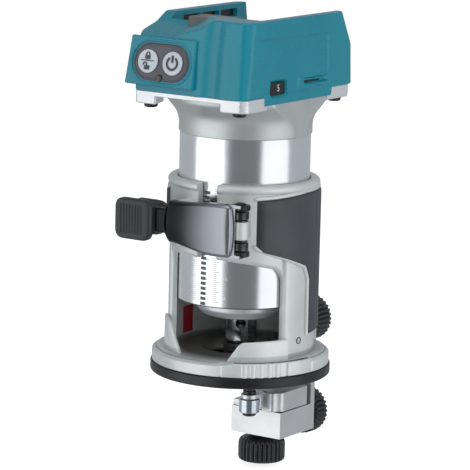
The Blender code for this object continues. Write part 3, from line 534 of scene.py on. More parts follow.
polished_tube = turned_metal("polished_tube", (0.78, 0.79, 0.81), (0.86, 0.87, 0.89), 0.14, 0.24)
cast_neck = skinned("cast_neck", (0.54, 0.56, 0.565), (0.62, 0.64, 0.645), 0.34, 0.46, metallic=0.7,
                    mottle=35,
                    grain=1600, height=0.00003)
edge_silver = skinned("head_plate_silver", (0.74, 0.76, 0.78), (0.82, 0.84, 0.86), 0.3, 0.4, metallic=0.55,
                      mottle=40)


def rack_tube():
    """The tube with its rack: the radius drops by 2.2 inside each slot, where both the distance across
    the front and the height from the slot's middle are small enough."""
    half = math.asin(RACK_HALF / TUBE_R)
    fine = np.array([-half - 0.0005, -half, -half / 2, 0, half / 2, half, half + 0.0005])
    angle = np.unique(np.concatenate((np.linspace(-math.pi, math.pi, 257)[:-1], fine)))
    angle = angle[(np.abs(angle) > half + 0.0004) | np.isin(angle, fine)]
    middles = PINION_Z - RACK_PITCH * 16 + RACK_PITCH * np.arange(RACK_TEETH)
    cuts = (middles[:, None] + np.array([-0.82, -0.8, 0.8, 0.82])).ravel()
    z = np.concatenate(([TUBE_LOW, TUBE_LOW + 0.2, TUBE_LOW + 0.6], cuts, [100, 110, 120.4, TUBE_TOP]))
    outer = np.interp(z, (TUBE_LOW, TUBE_LOW + 0.6, 120.4, TUBE_TOP),
                      (TUBE_R - 0.6, TUBE_R, TUBE_R, TUBE_R - 0.3))
    in_slot = (np.abs(z[:, None] - middles).min(1) < 0.81)[:, None] & (np.abs(angle) <= half + 1e-6)[None, :]
    radius = outer[:, None] - 2.2 * in_slot
    inner = np.array([[29.7, TUBE_TOP], [29.7, TUBE_LOW]])
    radius = np.concatenate((radius, inner[:, :1] + 0 * angle[None]))
    height = np.concatenate((z[:, None] + 0 * angle[None], inner[:, 1:] + 0 * angle[None]))
    points = np.stack((radius * np.sin(angle), -radius * np.cos(angle), height), -1).reshape(-1, 3)
    return points, grid_faces(len(radius), len(angle), around=True, closed=True)


lay("motor_tube", [rack_tube()], polished_tube, "motor_unit", ["motor_housing"],
    sharp=30)


def neck_sides(radius, angle, height):
    """The flare is cut flat at the plate's two long sides."""
    x, y = np.clip(radius * np.sin(angle), -33.4, 32.6), -radius * np.cos(angle)
    return np.hypot(x, y), np.arctan2(x, -y), height


neck = rounded([(32.3, 120.8), (33.1, 121.2), (33.1, 127), (34.4, 131), (37.4, 134.8), (40.0, 138.0),
                (40.0, 141.6),
                (29.8, 141.6), (29.8, 120.8)], 2.2, steps=5)
PLATE = [(-33.4, -44.5), (-31, -50.1), (21.7, -50.1), (30, -48.8), (32.6, -46), (32.6, -28.8), (30.6, -28.8),
         (30.6, 20.8), (32.6, 20.8), (32.6, 42), (30, 44.8), (-30, 44.8), (-33.4, 42)]
lay("motor_neck", [turned(neck, 240, True, neck_sides)], cast_neck, "motor_unit",
    sharp=50)
FEET = (((-33.4, -44.5), (-31, -50.1), (-19, -50.1), (-22.5, -38), (-33.4, -34)),
        ((18.5, -50.1), (21.7, -50.1), (30, -48.8), (32.6, -46), (32.6, -29), (22, -38)),
        ((32.6, 21), (32.6, 42), (30, 44.8), (20, 44.8), (23, 34)),
        ((-33.4, 42), (-33.4, 26), (-23, 34), (-20, 44.8), (-30, 44.8)))
lay("head_plate", [slab(PLATE, 141.0, 143.4, edge=0.5, corner=0.8)] +
    [slab(foot, 137.0, 142.0, edge=0.9,
          corner=1.2) for foot in FEET], edge_silver, "motor_unit")

# Depth marks: fine engraved lines every millimetre, longer at five, in two columns, and their numbers.
mark_fill = skinned("mark_fill", (0.80, 0.82, 0.84), (0.92, 0.93, 0.94), 0.45, 0.6, grain=3000)
mark_dark = skinned("mark_dark", (0.10, 0.11, 0.12), (0.16, 0.17, 0.18), 0.45, 0.6, grain=3000)


def bent_patch(x, z, wide, high, radius=TUBE_R + 0.03):
    """Thin curved patches on the tube, each given by its left end, middle height, width and height."""
    across = np.array([0, 0.5, 1, 1, 0.5, 0])
    up = np.array([-0.5, -0.5, -0.5, 0.5, 0.5, 0.5])
    flat_x = x[:, None] + wide[:, None] * across
    flat_z = z[:, None] + high * up
    turn = flat_x / radius
    points = np.stack((radius * np.sin(turn), -radius * np.cos(turn), flat_z), -1)
    quads = np.array([[0, 1, 4, 5], [1, 2, 3, 4]])
    return points.reshape(-1, 3), (quads[None] + 6 * np.arange(len(x))[:, None, None]).reshape(-1, 4)


ticks = np.arange(40, 97, 1.0)
long_tick = np.where(ticks % 5 == 0, 4.2, 2.6)
lay("depth_marks_light", [bent_patch(-5.2 - long_tick, ticks, long_tick, 0.32)], mark_fill, "motor_unit")
lay("depth_marks_dark", [bent_patch(4.6 + 0 * ticks, ticks + 0.1, long_tick * 0.8, 0.22)], mark_dark,
    "motor_unit")


def lettered(text, size):
    """The flat mesh of a short text, centred: its points in millimetres and its faces."""
    curve = bpy.data.curves.new("text", "FONT")
    curve.body, curve.size, curve.align_x, curve.align_y = text, size, "CENTER", "CENTER"
    curve.resolution_u = 3
    carrier = add_object("text", curve)
    bpy.context.view_layer.update()
    mesh = bpy.data.meshes.new_from_object(carrier.evaluated_get(bpy.context.evaluated_depsgraph_get()))
    flat = np.zeros(len(mesh.vertices) * 3)
    mesh.vertices.foreach_get("co", flat)
    faces = [list(face.vertices) for face in mesh.polygons]
    bpy.data.objects.remove(carrier)
    return flat.reshape(-1, 3), faces


def lettered_round(text, size, centre, radius, turn, height):
    """Text wrapped on a cylinder round an upright axis; turn is from the front towards +X."""
    flat, faces = lettered(text, size)
    at = turn + flat[:, 0] / radius
    x, y = centre[0] + radius * np.sin(at), centre[1] - radius * np.cos(at)
    return np.stack((x, y, height + flat[:, 1]), -1), faces


numbers = [lettered_round(str(value), 2.4, (0, 0), TUBE_R + 0.03, at, 42 + 10 * row)
           for row, value in enumerate((0, 10, 20, 30, 40)) for at in (-0.37, 0.34)]
lay("depth_numbers", numbers, mark_fill, "motor_unit")


# ---- Inside the motor ----
# A cast retainer plate holds the lower bearing. The stator and its windings fill the tube, and a plastic
# bridge carries the upper bearing above the fan. They keep their own shapes; each gets its own finish.

bare_cast = skinned("bare_cast", (0.56, 0.60, 0.58), (0.66, 0.70, 0.68), 0.35, 0.5, metallic=0.35, mottle=60)
ground_steel = turned_metal("ground_steel", (0.42, 0.43, 0.44), (0.52, 0.53, 0.54), 0.2, 0.32)
copper_wire = turned_metal("enamelled_copper", (0.42, 0.14, 0.05), (0.62, 0.26, 0.1), 0.25, 0.4, 900, 0.00006)
grey_plastic = skinned("grey_plastic", (0.075, 0.07, 0.065), (0.11, 0.10, 0.095), 0.4, 0.55)
laminated = turned_metal("laminated_steel", (0.10, 0.10, 0.11), (0.2, 0.2, 0.21), 0.3, 0.5, 1500, 0.00003)
retainer = rounded([(29.4, 41.5), (29.4, 38.0), (23.6, 37.6), (22.8, 33.0), (20.0, 29.8), (15.5, 28.6),
                    (8.8, 28.6), (8.8, 41.5)],
                   0.9)
lay("retainer_ring", [turned(retainer, 180, True)], edge_silver, "motor_unit", ["retainer_plate"])
dress(ground_steel, "lower_bearing", "upper_bearing")
dress(bare_cast, "bearing_seat")
dress(grey_plastic, "bearing_bridge")
dress(laminated, "stator_core")
dress(copper_wire, "winding_lower", "winding_upper")


# ---- Spindle and collet ----
# The ground spindle runs in both bearings with the rotor and fan pressed on. A hexagon nut closes the
# collet in its lower end, and a cross hole above it takes a locking pin.

def softened(node, name, finish, body, width=0.3, sharp=38):
    """A CAD node's own shape as a new piece: its flat facets merged, its edges rounded by a bevel."""
    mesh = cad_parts[node].data.copy()
    merged = bmesh.new()
    merged.from_mesh(mesh)
    bmesh.ops.remove_doubles(merged, verts=merged.verts, dist=1e-6)
    bmesh.ops.dissolve_limit(merged, angle_limit=math.radians(0.5), verts=merged.verts, edges=merged.edges)
    merged.to_mesh(mesh)
    merged.free()
    mesh.name = name
    mesh.shade_smooth()
    mesh.set_sharp_from_angle(angle=math.radians(sharp))
    mesh.materials.clear()
    mesh.materials.append(finish)
    piece = add_object(name, mesh)
    bevel = piece.modifiers.new("edges", "BEVEL")
    bevel.width, bevel.segments, bevel.limit_method = width * MM, 2, "ANGLE"
    bevel.angle_limit = math.radians(sharp)
    bevel.harden_normals = True
    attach(piece, body)
    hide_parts(node)
    return piece


oiled_steel = skinned("oiled_steel", (0.10, 0.10, 0.10), (0.2, 0.2, 0.195), 0.25, 0.4, metallic=0.9,
                      mottle=250)
softened("spindle", "spindle_shaft", ground_steel, "rotor", 0.15)
dress(laminated, "rotor_core")
dress(black_plastic, "fan")
dress(ground_steel, "collet_cone")


def hexagon(radius, angle, height):
    """Six flats, 8.15 from the axis, cut back every radius above 7 that passes them. The turned profile
    falls away at both ends, which chamfers the corners there."""
    flat = 8.15 / np.cos((angle + math.pi / 6) % (math.pi / 3) - math.pi / 6)
    return np.minimum(radius, np.where(radius > 7.0, flat, radius)), angle, height


nut = [(4.7, 5.0), (8.2, 5.0), (8.7, 5.4), (9.35, 6.2), (9.4, 7.0), (9.4, 13.4), (9.0, 14.1), (8.6, 14.4),
       (6.9, 14.4), (6.9, 7.8), (4.7, 7.4)]
lay("collet_hexagon", [turned(nut, 240, True, hexagon)], oiled_steel, "collet_nut", ["collet_nut"],
    28)


# ---- Head cover ----
# A moulded teal shell screwed down on the head plate. Two rails stand either side of an open channel that
# the battery slides into from behind, and its front left carries the leaning button panel.

teal_plastic = skinned("teal_plastic", (0.004, 0.235, 0.32), (0.006, 0.265, 0.355), 0.24, 0.36, grain=2400,
                       height=0.000015, mottle=25)

LEVELS = (143.5, 163.6, 180.0)
OUTLINES = (
    ((30.5, 46.6), (33.5, 43.2), (33, -46), (30, -49), (21.7, -50.5), (6.5, -50.5), (-31, -50.5),
     (-34.3, -44.5), (-34.3, 43.2), (-30.5, 46.6)),
    ((30.5, 45.2), (33.5, 42.2), (33, -43.6), (29.2, -46.8), (21.2, -48.4), (6.5, -48.4), (-31, -48.4),
     (-34.3, -43), (-34.3, 42.2), (-30.5, 45.2)),
    ((30, 37.4), (32.4, 35.2), (32, -40), (28, -44), (20.5, -45.4), (6.5, -45.4), (-30.5, -45.4),
     (-33.4, -40), (-33.4, 35.2), (-30, 37.4)))
CHANNEL_X, CHANNEL_FRONT, CHANNEL_FLOOR = 27.0, -28.0, 163.0


def smoothstep(low, high, value):
    """0 below low, 1 above high, 3t^2 - 2t^3 between."""
    t = np.clip((value - low) / (high - low), 0, 1)
    return t * t * (3 - 2 * t)


def walk(corners):
    """An open outline with soft corners, its long sides split into steps of about 1 mm at fixed shares."""
    soft = rounded(corners, 1.6, closed=False, steps=5)
    sides = (0, 0, 0, 0, 0, 1) * (len(corners) - 1) + (0,) * 5
    counts = (6, 88, 5, 9, 16, 38, 8, 86, 6)
    pieces, row = [], 0
    for index, is_side in enumerate(sides):
        steps = counts[row] if is_side else 1
        row += is_side
        t = np.arange(steps)[:, None] / steps
        pieces.append(soft[index] * (1 - t) + soft[index + 1] * t)
    return np.concatenate((*pieces, soft[-1:]))


def roof_height(x, y):
    """Flat at 180; towards the button panel it falls along a broken line of y, and a slanting facet
    joins the two between x = -11 and 6."""
    slope = np.interp(y, (-48, -30.3, -23), (169.9, 175.5, 180))
    left = 168.0 + (y + 60) * 7.6 / 30
    right = 169.8 + (y + 60) * 8.5 / 18
    share = np.clip((x + 11.2) / 17.2, 0, 1)
    facet = np.minimum(left * (1 - share) + right * share, 180)
    high = smoothstep(4.5, 10.5, x)
    return np.where(x < -11.2, slope, facet * (1 - high) + 180 * high)


def inside_shape(y, z, corners):
    """How far (y, z) lies inside a convex outline: the least distance to its sides, negative outside."""
    away = np.inf
    for (y0, z0), (y1, z1) in zip(corners, corners[1:] + corners[:1]):
        length = math.hypot(y1 - y0, z1 - z0)
        away = np.minimum(away, ((y - y0) * (z1 - z0) - (z - z0) * (y1 - y0)) / length)
    return away


SIDE_PANEL = [(-45.4, 141.0), (-41.6, 172.3), (28, 170.7), (39.6, 156), (39.6, 151.2), (33.0, 147.6),
              (22.5, 146.8), (22.5, 141.0)]


def head_shell():
    """The rails and front as one section carried round three sides: up the outer wall, which is
    interpolated between three outlines, over a rounded roof edge, across the roof to the channel,
    and down the channel wall. Panels, windows and grooves move the walls in or out."""
    paths = np.stack([walk(outline) for outline in OUTLINES])
    count = paths.shape[1]

    def wall_at(height):
        lower = np.clip((height - LEVELS[0]) / (LEVELS[1] - LEVELS[0]), -1, 1)[..., None]
        upper = np.clip((height - LEVELS[1]) / (LEVELS[2] - LEVELS[1]), 0, 1)[..., None]
        return paths[0] * (1 - lower) + paths[1] * lower + (paths[2] - paths[1]) * upper

    guess = np.full(count, 176.0)
    for _ in range(6):
        edge = wall_at(guess)
        guess = roof_height(edge[:, 0], edge[:, 1])
    top, edge = guess, wall_at(guess)
    on_right = paths[0][:, 0] > 32
    on_left = paths[0][:, 0] < -33
    low = np.where(on_right & (edge[:, 1] > -28.4) & (edge[:, 1] < 20.4), 139.4, LEVELS[0])
    fillet = 1.1
    share = np.concatenate(([0], np.linspace(0.001, 1, 46)))
    level = low + 0.5 + (top - fillet - low - 0.5) * share[:, None]
    level[0] = low
    wall = wall_at(level)
    wall[0] += 0.4 * np.sign(-wall[0]) * np.array([1, 0])
    y, z = wall[..., 1], level
    x_in = 0.75 * smoothstep(0, 0.9, inside_shape(y, z, SIDE_PANEL))
    dial = np.minimum.reduce((y + 26.6, -13.4 - y, 150.4 - z, z - 143.4))
    x_in += 1.9 * smoothstep(-0.3, 0.3, dial)
    vent = np.minimum.reduce((y - 1, 21 - y, 149.6 - z, z - 147.2))
    x_in += 1.6 * smoothstep(-0.3, 0.3, vent)
    bump = np.minimum.reduce((y + 4, 22.5 - y, 151.4 - z, z - 139))
    x_in -= 0.75 * smoothstep(0, 0.9, bump) * (inside_shape(y, z, SIDE_PANEL) > -0.5)
    wall[..., 0] -= np.where(on_right, x_in, 0)
    valley = np.sin(np.clip((wall[..., 0] - 5.5) / 15, 0, 1) * math.pi) ** 2
    wall[..., 1] += np.where((paths[0][:, 1] < -50) & (wall[..., 0] > 5.5), 1.7 * valley, 0)
    inner = np.stack((np.clip(edge[:, 0], -CHANNEL_X, CHANNEL_X), np.maximum(edge[:, 1], CHANNEL_FRONT)), -1)
    across = inner - edge
    width = np.linalg.norm(across, axis=1)[:, None]
    along = across / width
    rows, levels = [wall], [level]
    for turn in np.radians((15, 32, 50, 70, 90)):
        rows.append((wall[-1] + along * fillet * (1 - math.cos(turn)))[None])
        levels.append((top - fillet + fillet * math.sin(turn))[None])
    start = wall[-1] + along * fillet
    for part in (0.08, 0.2, 0.35, 0.5, 0.65, 0.8, 0.92):
        point = start + (inner - start) * part
        rows.append(point[None])
        levels.append(np.maximum(roof_height(point[:, 0], point[:, 1]), top)[None])
    lip = roof_height(inner[:, 0], inner[:, 1])
    rows.append((inner - along * 0.5)[None])
    levels.append(np.maximum(lip, top)[None])
    drop = np.array([0.4, 1.2, 2.45, 2.55, 4.0, 6.35, 6.45, 8.9, 9.0, 11.0, 14.0, 14.1, 17.0])
    down = 180.0 - drop[:, None] + 0 * lip[None]
    down = np.minimum(down, np.maximum(lip, top)[None] - 0.4)
    channel = np.repeat(inner[None], len(drop), 0)
    rail_y = channel[..., 1]
    pocket = np.abs((rail_y + 16) % 16 - 6.5) < 6.5
    slots = (down < 177.5) & (down > 173.6) & pocket & (rail_y > -16) & (rail_y < 29)
    groove = (down < 171.05) & (down > 165.95) & (rail_y > -24)
    sink = np.where(on_left, 2.4 * slots + 3.4 * groove, np.where(on_right, 3.4 * groove, 0))
    channel[..., 0] += np.sign(channel[..., 0]) * sink
    rows.append(channel)
    levels.append(down)
    hidden = np.stack((np.clip(edge[:, 0] * 0.935, -31.0, 30.6), np.maximum(edge[:, 1] * 0.95, -45.5)), -1)
    rows += [hidden[None], hidden[None]]
    levels += [np.full((1, count), 162.0), (low + 0.3)[None]]
    flat, height = np.concatenate(rows), np.concatenate(levels)
    points = np.concatenate((flat, height[..., None]), -1)
    total = len(points)
    return points.reshape(-1, 3), grid_faces(total, count, closed=True).tolist() + end_faces(total, count)


def leaned(shape, base, slope):
    """Leans a shape forward: y falls by slope for each millimetre above the base height."""
    points = np.array(shape[0])
    points[:, 1] -= (points[:, 2] - base) * slope
    return points, shape[1]


PANEL_TILT = math.radians(10.3)
PAD_CENTRE = np.array((-15.4, -50.6, 158.0))


def on_panel(shape):
    """Moves a shape made flat at the origin onto the leaning panel: its X stays, its Y runs up the
    panel and its Z points out of it."""
    turn = np.array(Matrix.Rotation(math.pi / 2 - PANEL_TILT, 3, "X"))
    return np.asarray(shape[0]) @ turn.T + PAD_CENTRE, shape[1]


def stadium(width, height, steps=24):
    """A rectangle between two half circles."""
    turn = np.linspace(-math.pi / 2, math.pi / 2, steps)
    half, reach = height / 2, (width - height) / 2
    right = np.stack((reach + half * np.cos(turn), half * np.sin(turn)), -1)
    return np.concatenate((right, -right))


def stadium_rim(width, height, level, radius):
    """A round bead along a stadium's outline at a level."""
    outline = stadium(width, height)
    return tube(np.column_stack((outline, np.full(len(outline), level))), radius, 10, closed=True)


def circle(radius, centre=(0, 0), sides=64):
    """Points round a circle."""
    turn = np.linspace(0, 2 * math.pi, sides, endpoint=False)
    return np.stack((centre[0] + radius * np.cos(turn), centre[1] + radius * np.sin(turn)), -1)


brow = [(-20.6, -11.6), (19.4, -11.6), (19.0, 12.2), (-19.4, 12.2)]
lay("head_shell", [
    head_shell(),
    block((-28.5, -36.6, 161.0), (28.5, 43.8, CHANNEL_FLOOR), 0.3, 1.0),
    leaned(block((-31.5, 43.1, 143.6), (31.5, 46.5, 162.8), 0.8, 1.0, "XZ"), 143.6, 0.066),
    on_panel(slab(brow, -8.0, 0.1, edge=0.6, corner=0.9)),
    on_panel(stadium_rim(35.2, 20.8, 0.1, 0.55)),
], teal_plastic, "motor_unit", ["head_cover"], sharp=32)
# The rail slots and windows get painted shade: thin black liners stand at their floors.
lay("head_shade_liners",
    [block((-29.3, y, 173.9), (-29.0, y + 12.6, 177.2), 0.05, 0.2) for y in (-15.8, 0.2, 16.2)] +
    [block((31.35, -26.2, 143.8), (31.75, -13.8, 150.0), 0.05, 0.2),
     block((31.0, 1.6, 147.6), (31.75, 20.4, 149.2), 0.05, 0.2)],
    black_plastic, "motor_unit")


# ---- Controls ----
# A soft grey panel in the cover's front holds two printed buttons, lock and power, over a switch board,
# with a small lamp below them. The speed dial looks out of the right side. Each button has its symbol.

panel_rubber = skinned("panel_rubber", (0.085, 0.085, 0.1), (0.11, 0.11, 0.13), 0.34, 0.46, grain=2600)
button_white = skinned("button_white", (0.60, 0.66, 0.72), (0.70, 0.75, 0.81), 0.28, 0.38, grain=2500,
                       mottle=120)
print_grey = skinned("print_grey", (0.045, 0.048, 0.055), (0.07, 0.072, 0.08), 0.4, 0.5)
BUTTON_R, BUTTON_U = 5.75, 7.3
panel_shell = slab(stadium(33.0, 18.6), -1.6, 0.55, edge=0.8, corner=0, steps=6)
lay("panel_pad", [on_panel(panel_shell), on_panel(stadium_rim(31.0, 16.6, 0.55, 0.4))], panel_rubber,
    "motor_unit", ["button_panel"], sharp=50)


def button(centre):
    """A round button whose printed face dips 0.25 from its rim to its middle."""
    profile = [(0, 1.3), (2, 1.33), (4, 1.42), (5.2, 1.55), (5.6, 1.45), (BUTTON_R, 1.2), (BUTTON_R, 0.92),
               (0, 0.92)]
    return shifted(turned(profile, 72), (*centre, 0))


def stroke(path, width=0.42, height=1.62):
    """A printed line along a flat path, as a low rounded bar."""
    path = np.asarray(path, float)
    return tube(np.column_stack((path, np.full(len(path), height))), width, 8, flat=0.35)


def arch(centre, radius, start, end, steps=28):
    """Points of an arc from start to end degrees, counted from +X."""
    turn = np.radians(np.linspace(start, end, steps))
    return np.stack((centre[0] + radius * np.cos(turn), centre[1] + radius * np.sin(turn)), -1)


power_arc = arch((BUTTON_U, 0), 3.0, 122, 418)
power_bar = np.array([(BUTTON_U, 0.4), (BUTTON_U, 3.9)])
locks = []
for middle, opened in ((2.3, 0.0), (-2.7, -1.3)):
    body = [(-1.5, -1.4), (1.5, -1.4), (1.5, 0.6), (-1.5, 0.6)]
    moved = [(u - BUTTON_U, v + middle) for u, v in body]
    locks.append(on_panel(slab(moved, 1.45, 1.72, edge=0.1, corner=0.2)))
    shackle = arch((opened - BUTTON_U, middle + 1.1), 0.95, 0, 180, 16)
    far_foot = 0.7 if opened else 0.4
    legs = np.concatenate(([[shackle[0, 0], middle + 0.4]], shackle, [[shackle[-1, 0], middle + far_foot]]))
    locks.append(on_panel(stroke(legs, 0.32, 1.6)))
lay("lock_face", [on_panel(button((-BUTTON_U, 0)))], button_white, "lock_button", ["lock_button"])
lay("lock_symbols", locks + [on_panel(stroke([(-BUTTON_U - 3.9, 0.35), (-BUTTON_U + 3.9, 0.35)], 0.2, 1.55))],
    print_grey, "lock_button")
lay("power_face", [on_panel(button((BUTTON_U, 0)))], button_white, "power_button", ["power_button"])
lay("power_symbol", [on_panel(stroke(power_arc, 0.55)), on_panel(stroke(power_bar, 0.55))], print_grey,
    "power_button")

lamp_lens = skinned("lamp_lens", (0.02, 0.012, 0.014), (0.05, 0.02, 0.022), 0.1, 0.18, coat=0.5)
lens = turned([(0, 1.45), (1.2, 1.35), (1.7, 1.15), (1.8, 0.9), (1.8, -1.2), (0, -1.2)], 40)
lay("lamp_window", [on_panel(shifted(lens, (0, -7.6, 0)))], lamp_lens, "motor_unit", ["indicator_lens"])

DIAL_X, DIAL_Y, DIAL_R = 23.6, -20.0, 8.6


def dial_flutes(radius, angle, height):
    """Shallow flutes of half a sine round the wheel's face."""
    return radius - 0.12 * np.abs(np.sin(angle * 20)) * (radius > DIAL_R - 0.2), angle, height


dial = turned(rounded([(0, 150), (DIAL_R, 150), (DIAL_R, 144.2), (0, 144.2)], 0.5, False), 160, False,
              dial_flutes)
lay("dial_wheel", [shifted(dial, (DIAL_X, DIAL_Y, 0))], black_plastic, "speed_dial", ["speed_dial"])
numerals = [lettered_round(str(value), 4.6, (DIAL_X, DIAL_Y), DIAL_R + 0.03,
                           math.pi / 2 + math.radians(40 * (5 - value)), 147.1) for value in range(1, 6)]
lay("dial_numbers", numerals, mark_fill, "speed_dial")

circuit_green = skinned("circuit_green", (0.008, 0.07, 0.03), (0.02, 0.12, 0.05), 0.3, 0.45, mottle=400)
bright_brass = turned_metal("bright_brass", (0.58, 0.42, 0.16), (0.68, 0.5, 0.2), 0.2, 0.32)
dress(circuit_green, "switch_board", "controller_board")
dress(grey_plastic, "controller_case")
dress(bright_brass, "terminal_blade_1", "terminal_blade_2")
terminal_grey = skinned("terminal_grey", (0.13, 0.115, 0.10), (0.17, 0.155, 0.14), 0.4, 0.55)
softened("terminal_block", "terminal_housing", terminal_grey, "motor_unit", 0.5)


# ---- Head screws ----
# Four blackened screws come up through the feet of the head plate into posts in the cover.
# Each has a flanged cap head with a recess.

screw_head = [(0, 135.9), (1.1, 135.9), (1.3, 134.9), (2.6, 134.9), (3.1, 135.2), (3.4, 135.9), (3.4, 136.7),
              (1.7, 136.7), (1.7, 150), (0, 150)]
for number, (x, y) in enumerate(((-26.0, -44.0), (26.0, -43.5), (27.0, 38.0), (-27.0, 38.0)), 1):
    lay(f"head_screw_cap_{number}", [shifted(turned(screw_head, 48), (x, y, 0))], dark_steel, "motor_unit",
        [f"head_screw_{number}"])


# ---- Clamp lever ----
# A pressed steel channel that swings on a pin at the slit's right lug and pulls two bolts. Its gloss black
# paint carries a painted highlight: near black at the left, bright grey towards the hinge. A ribbed plastic
# tab caps its narrow end before the depth knob.

gloss_black = skinned("gloss_black", (0.34, 0.36, 0.39), (0.37, 0.39, 0.42), 0.26, 0.26, metallic=0.95,
                      grain=700, height=0.0000005)
tab_black = skinned("tab_black", (0.022, 0.022, 0.024), (0.032, 0.032, 0.035), 0.42, 0.55, grain=2400)


def darken_leftwards(finish, left, right, tone):
    """Paints a highlight into a finish: it runs from a tone at the left to its own colour at the right, both
    given as X.
    """
    tree = finish.node_tree
    link = tree.links.new
    place, split, fade, blend = (tree.nodes.new("ShaderNode" + kind) for kind in (
        "TexCoord", "SeparateXYZ", "MapRange", "Mix"))
    fade.interpolation_type = "SMOOTHSTEP"
    fade.inputs["From Min"].default_value = left * MM
    fade.inputs["From Max"].default_value = right * MM
    blend.data_type = "RGBA"
    blend.inputs["A"].default_value = (*tone, 1)
    link(place.outputs["Object"], split.inputs["Vector"])
    link(split.outputs["X"], fade.inputs["Value"])
    link(fade.outputs["Result"], blend.inputs["Factor"])
    link(skin_of(tree).outputs["Colour"], blend.inputs["B"])
    link(blend.outputs["Result"], tree.nodes["Principled BSDF"].inputs["Base Color"])


# The lever's paint gets a painted highlight: near black left of x = -7, its bright grey from x = 26.
darken_leftwards(gloss_black, -7.0, 26.0, (0.018, 0.019, 0.021))
PIN_X, PIN_Y = 24.5, -38.5
LEVER_LINE = ((23.3, -42.8), (23.2, -44.6), (21.8, -46.4), (15.0, -47.7), (9.0, -48.3), (1.0, -48.0),
              (-7.0, -46.8), (-13.4, -45.4), (-16.0, -45.3), (-23.0, -46.5))


def smooth_path(corners, steps=16):
    """A Catmull-Rom curve: through each pair of points with tangents of half the step across them."""
    corners = np.asarray(corners, float)
    padded = np.concatenate((2 * corners[:1] - corners[1:2], corners, 2 * corners[-1:] - corners[-2:-1]))
    t = np.linspace(0, 1, steps, endpoint=False)[None, :, None]
    a, b, c, d = (padded[i:len(padded) - 3 + i][:, None] for i in range(4))
    square, cube = 2 * a - 5 * b + 4 * c - d, 3 * b - a - 3 * c + d
    curve = 0.5 * (2 * b + (c - a) * t + square * t ** 2 + cube * t ** 3)
    return np.concatenate((curve.reshape(-1, corners.shape[1]), corners[-1:]))


def lever_shell():
    """A channel section carried along a curve: a crowned face, its edges rolled back over a quarter
    circle into flanges, and the same again inside at the wall's thickness."""
    line = smooth_path(LEVER_LINE)
    along = np.gradient(line, axis=0)
    along /= np.linalg.norm(along, axis=1)[:, None]
    inward = np.stack((-along[:, 1], along[:, 0]), -1)
    inward *= np.sign(inward[:, 1:2] + 1e-9)
    x = line[:, 0]
    share = np.clip((16.5 - x) / 30.0, 0, 1)
    pinch = smoothstep(13.6, 16.4, -x)
    low = 66.0 + 3.4 * smoothstep(0, 1, share) + 4.2 * pinch
    high = 92.0 - 1.9 * smoothstep(0, 1, share) - 4.1 * pinch
    deep = 4.6 - 2.0 * pinch
    roll = 2.6 - 1.1 * pinch
    turn = np.linspace(0, math.pi / 2, 7)
    outer = [(deep, low)]
    outer += [(roll * (1 - np.sin(a)), low + roll * (1 - np.cos(a))) for a in turn]
    middle, half = (low + high) / 2, (high - low) / 2
    crown = 1.04 * (1 - pinch)
    for f in np.linspace(-0.7, 0.7, 9):
        outer.append((-crown * (1 - f ** 2), middle + f * (half - roll)))
    outer += [(roll * (1 - np.cos(a)), high - roll + roll * np.sin(a)) for a in turn]
    outer.append((deep, high))
    wall = 1.5
    inner = [(d + 0 * x if i in (0, len(outer) - 1) else np.maximum(d + wall, wall),
              np.clip(z, low + wall, high - wall)) for i, (d, z) in enumerate(outer)]
    loop = outer + inner[::-1]
    depth, height = np.array([d + 0 * x for d, _ in loop]), np.array([z + 0 * x for _, z in loop])
    flat = line[None] + inward[None] * depth[..., None]
    points = np.concatenate((flat, height[..., None]), -1)
    rows, columns = height.shape
    return points.reshape(-1, 3), grid_faces(rows, columns, closed=True).tolist() + end_faces(rows, columns)


ear = [(PIN_X + 4.8 * math.cos(turn), PIN_Y + 4.8 * math.sin(turn))
       for turn in map(math.radians, range(-60, 181, 15))]
ear += [(18.4, -42.8), (16.0, -45.4), (19.4, -44.8), (22.2, -43.5)]
lay("lever_body", [lever_shell()], gloss_black, "clamp_lever", ["clamp_lever"], sharp=45)
lay("lever_ears", [slab(ear, 66.4, 69.0, edge=0.5, corner=0.3), slab(ear, 89.0, 91.6, edge=0.5, corner=0.3)],
    dark_steel, "clamp_lever", sharp=45)
tab_outline = [(-42.8, 69.0), (-21.8, 69.0), (-21.8, 89.4), (-42.8, 89.4)]
ribs = [block((-39.6 + 1.75 * i, -50.35, 72.0), (-38.6 + 1.75 * i, -49.5, 86.4), 0.35, 0.4, "XZ")
        for i in range(8)]
lay("lever_grip", [slab(rounded(tab_outline, 5.0, steps=8), -50.0, -45.4, "XZ", 1.3, 0), *ribs,
                   block((-24.4, -49.2, 72.6), (-20.6, -45.9, 87.0), 0.5, 0.8, "XZ")],
    tab_black, "clamp_lever", ["lever_tab"], sharp=50)

hinge_pin = turned([(0, 65.4), (1.6, 65.4), (2.6, 65.9), (2.6, 66.6), (2.2, 66.7), (2.2, 91.4), (2.6, 91.5),
                    (2.6, 92.2), (1.6, 92.6), (0, 92.6)], 48)
lay("lever_hinge_pin", [shifted(hinge_pin, (PIN_X, PIN_Y, 0))], dark_steel, "base", ["lever_pin"])
clamp_steel = skinned("clamp_steel", (0.05, 0.05, 0.052), (0.13, 0.13, 0.135), 0.18, 0.3, metallic=0.95,
                      mottle=300)
softened("lever_bush", "hinge_bush", clamp_steel, "base", 0.3)
for place in ("lower", "upper"):
    softened(f"clamp_bolt_{place}", f"clamp_eye_bolt_{place}", clamp_steel, "base", 0.4)
    softened(f"clamp_nut_{place}", f"clamp_hex_nut_{place}", clamp_steel, "base", 0.3)


# ---- Depth pinion and its knob ----
# A small steel pinion meshes with the rack through the slit. Its shaft runs left through the lug to a
# fluted black knob, behind the lever's tab.

softened("pinion", "pinion_gear", ground_steel, "pinion", 0.1)


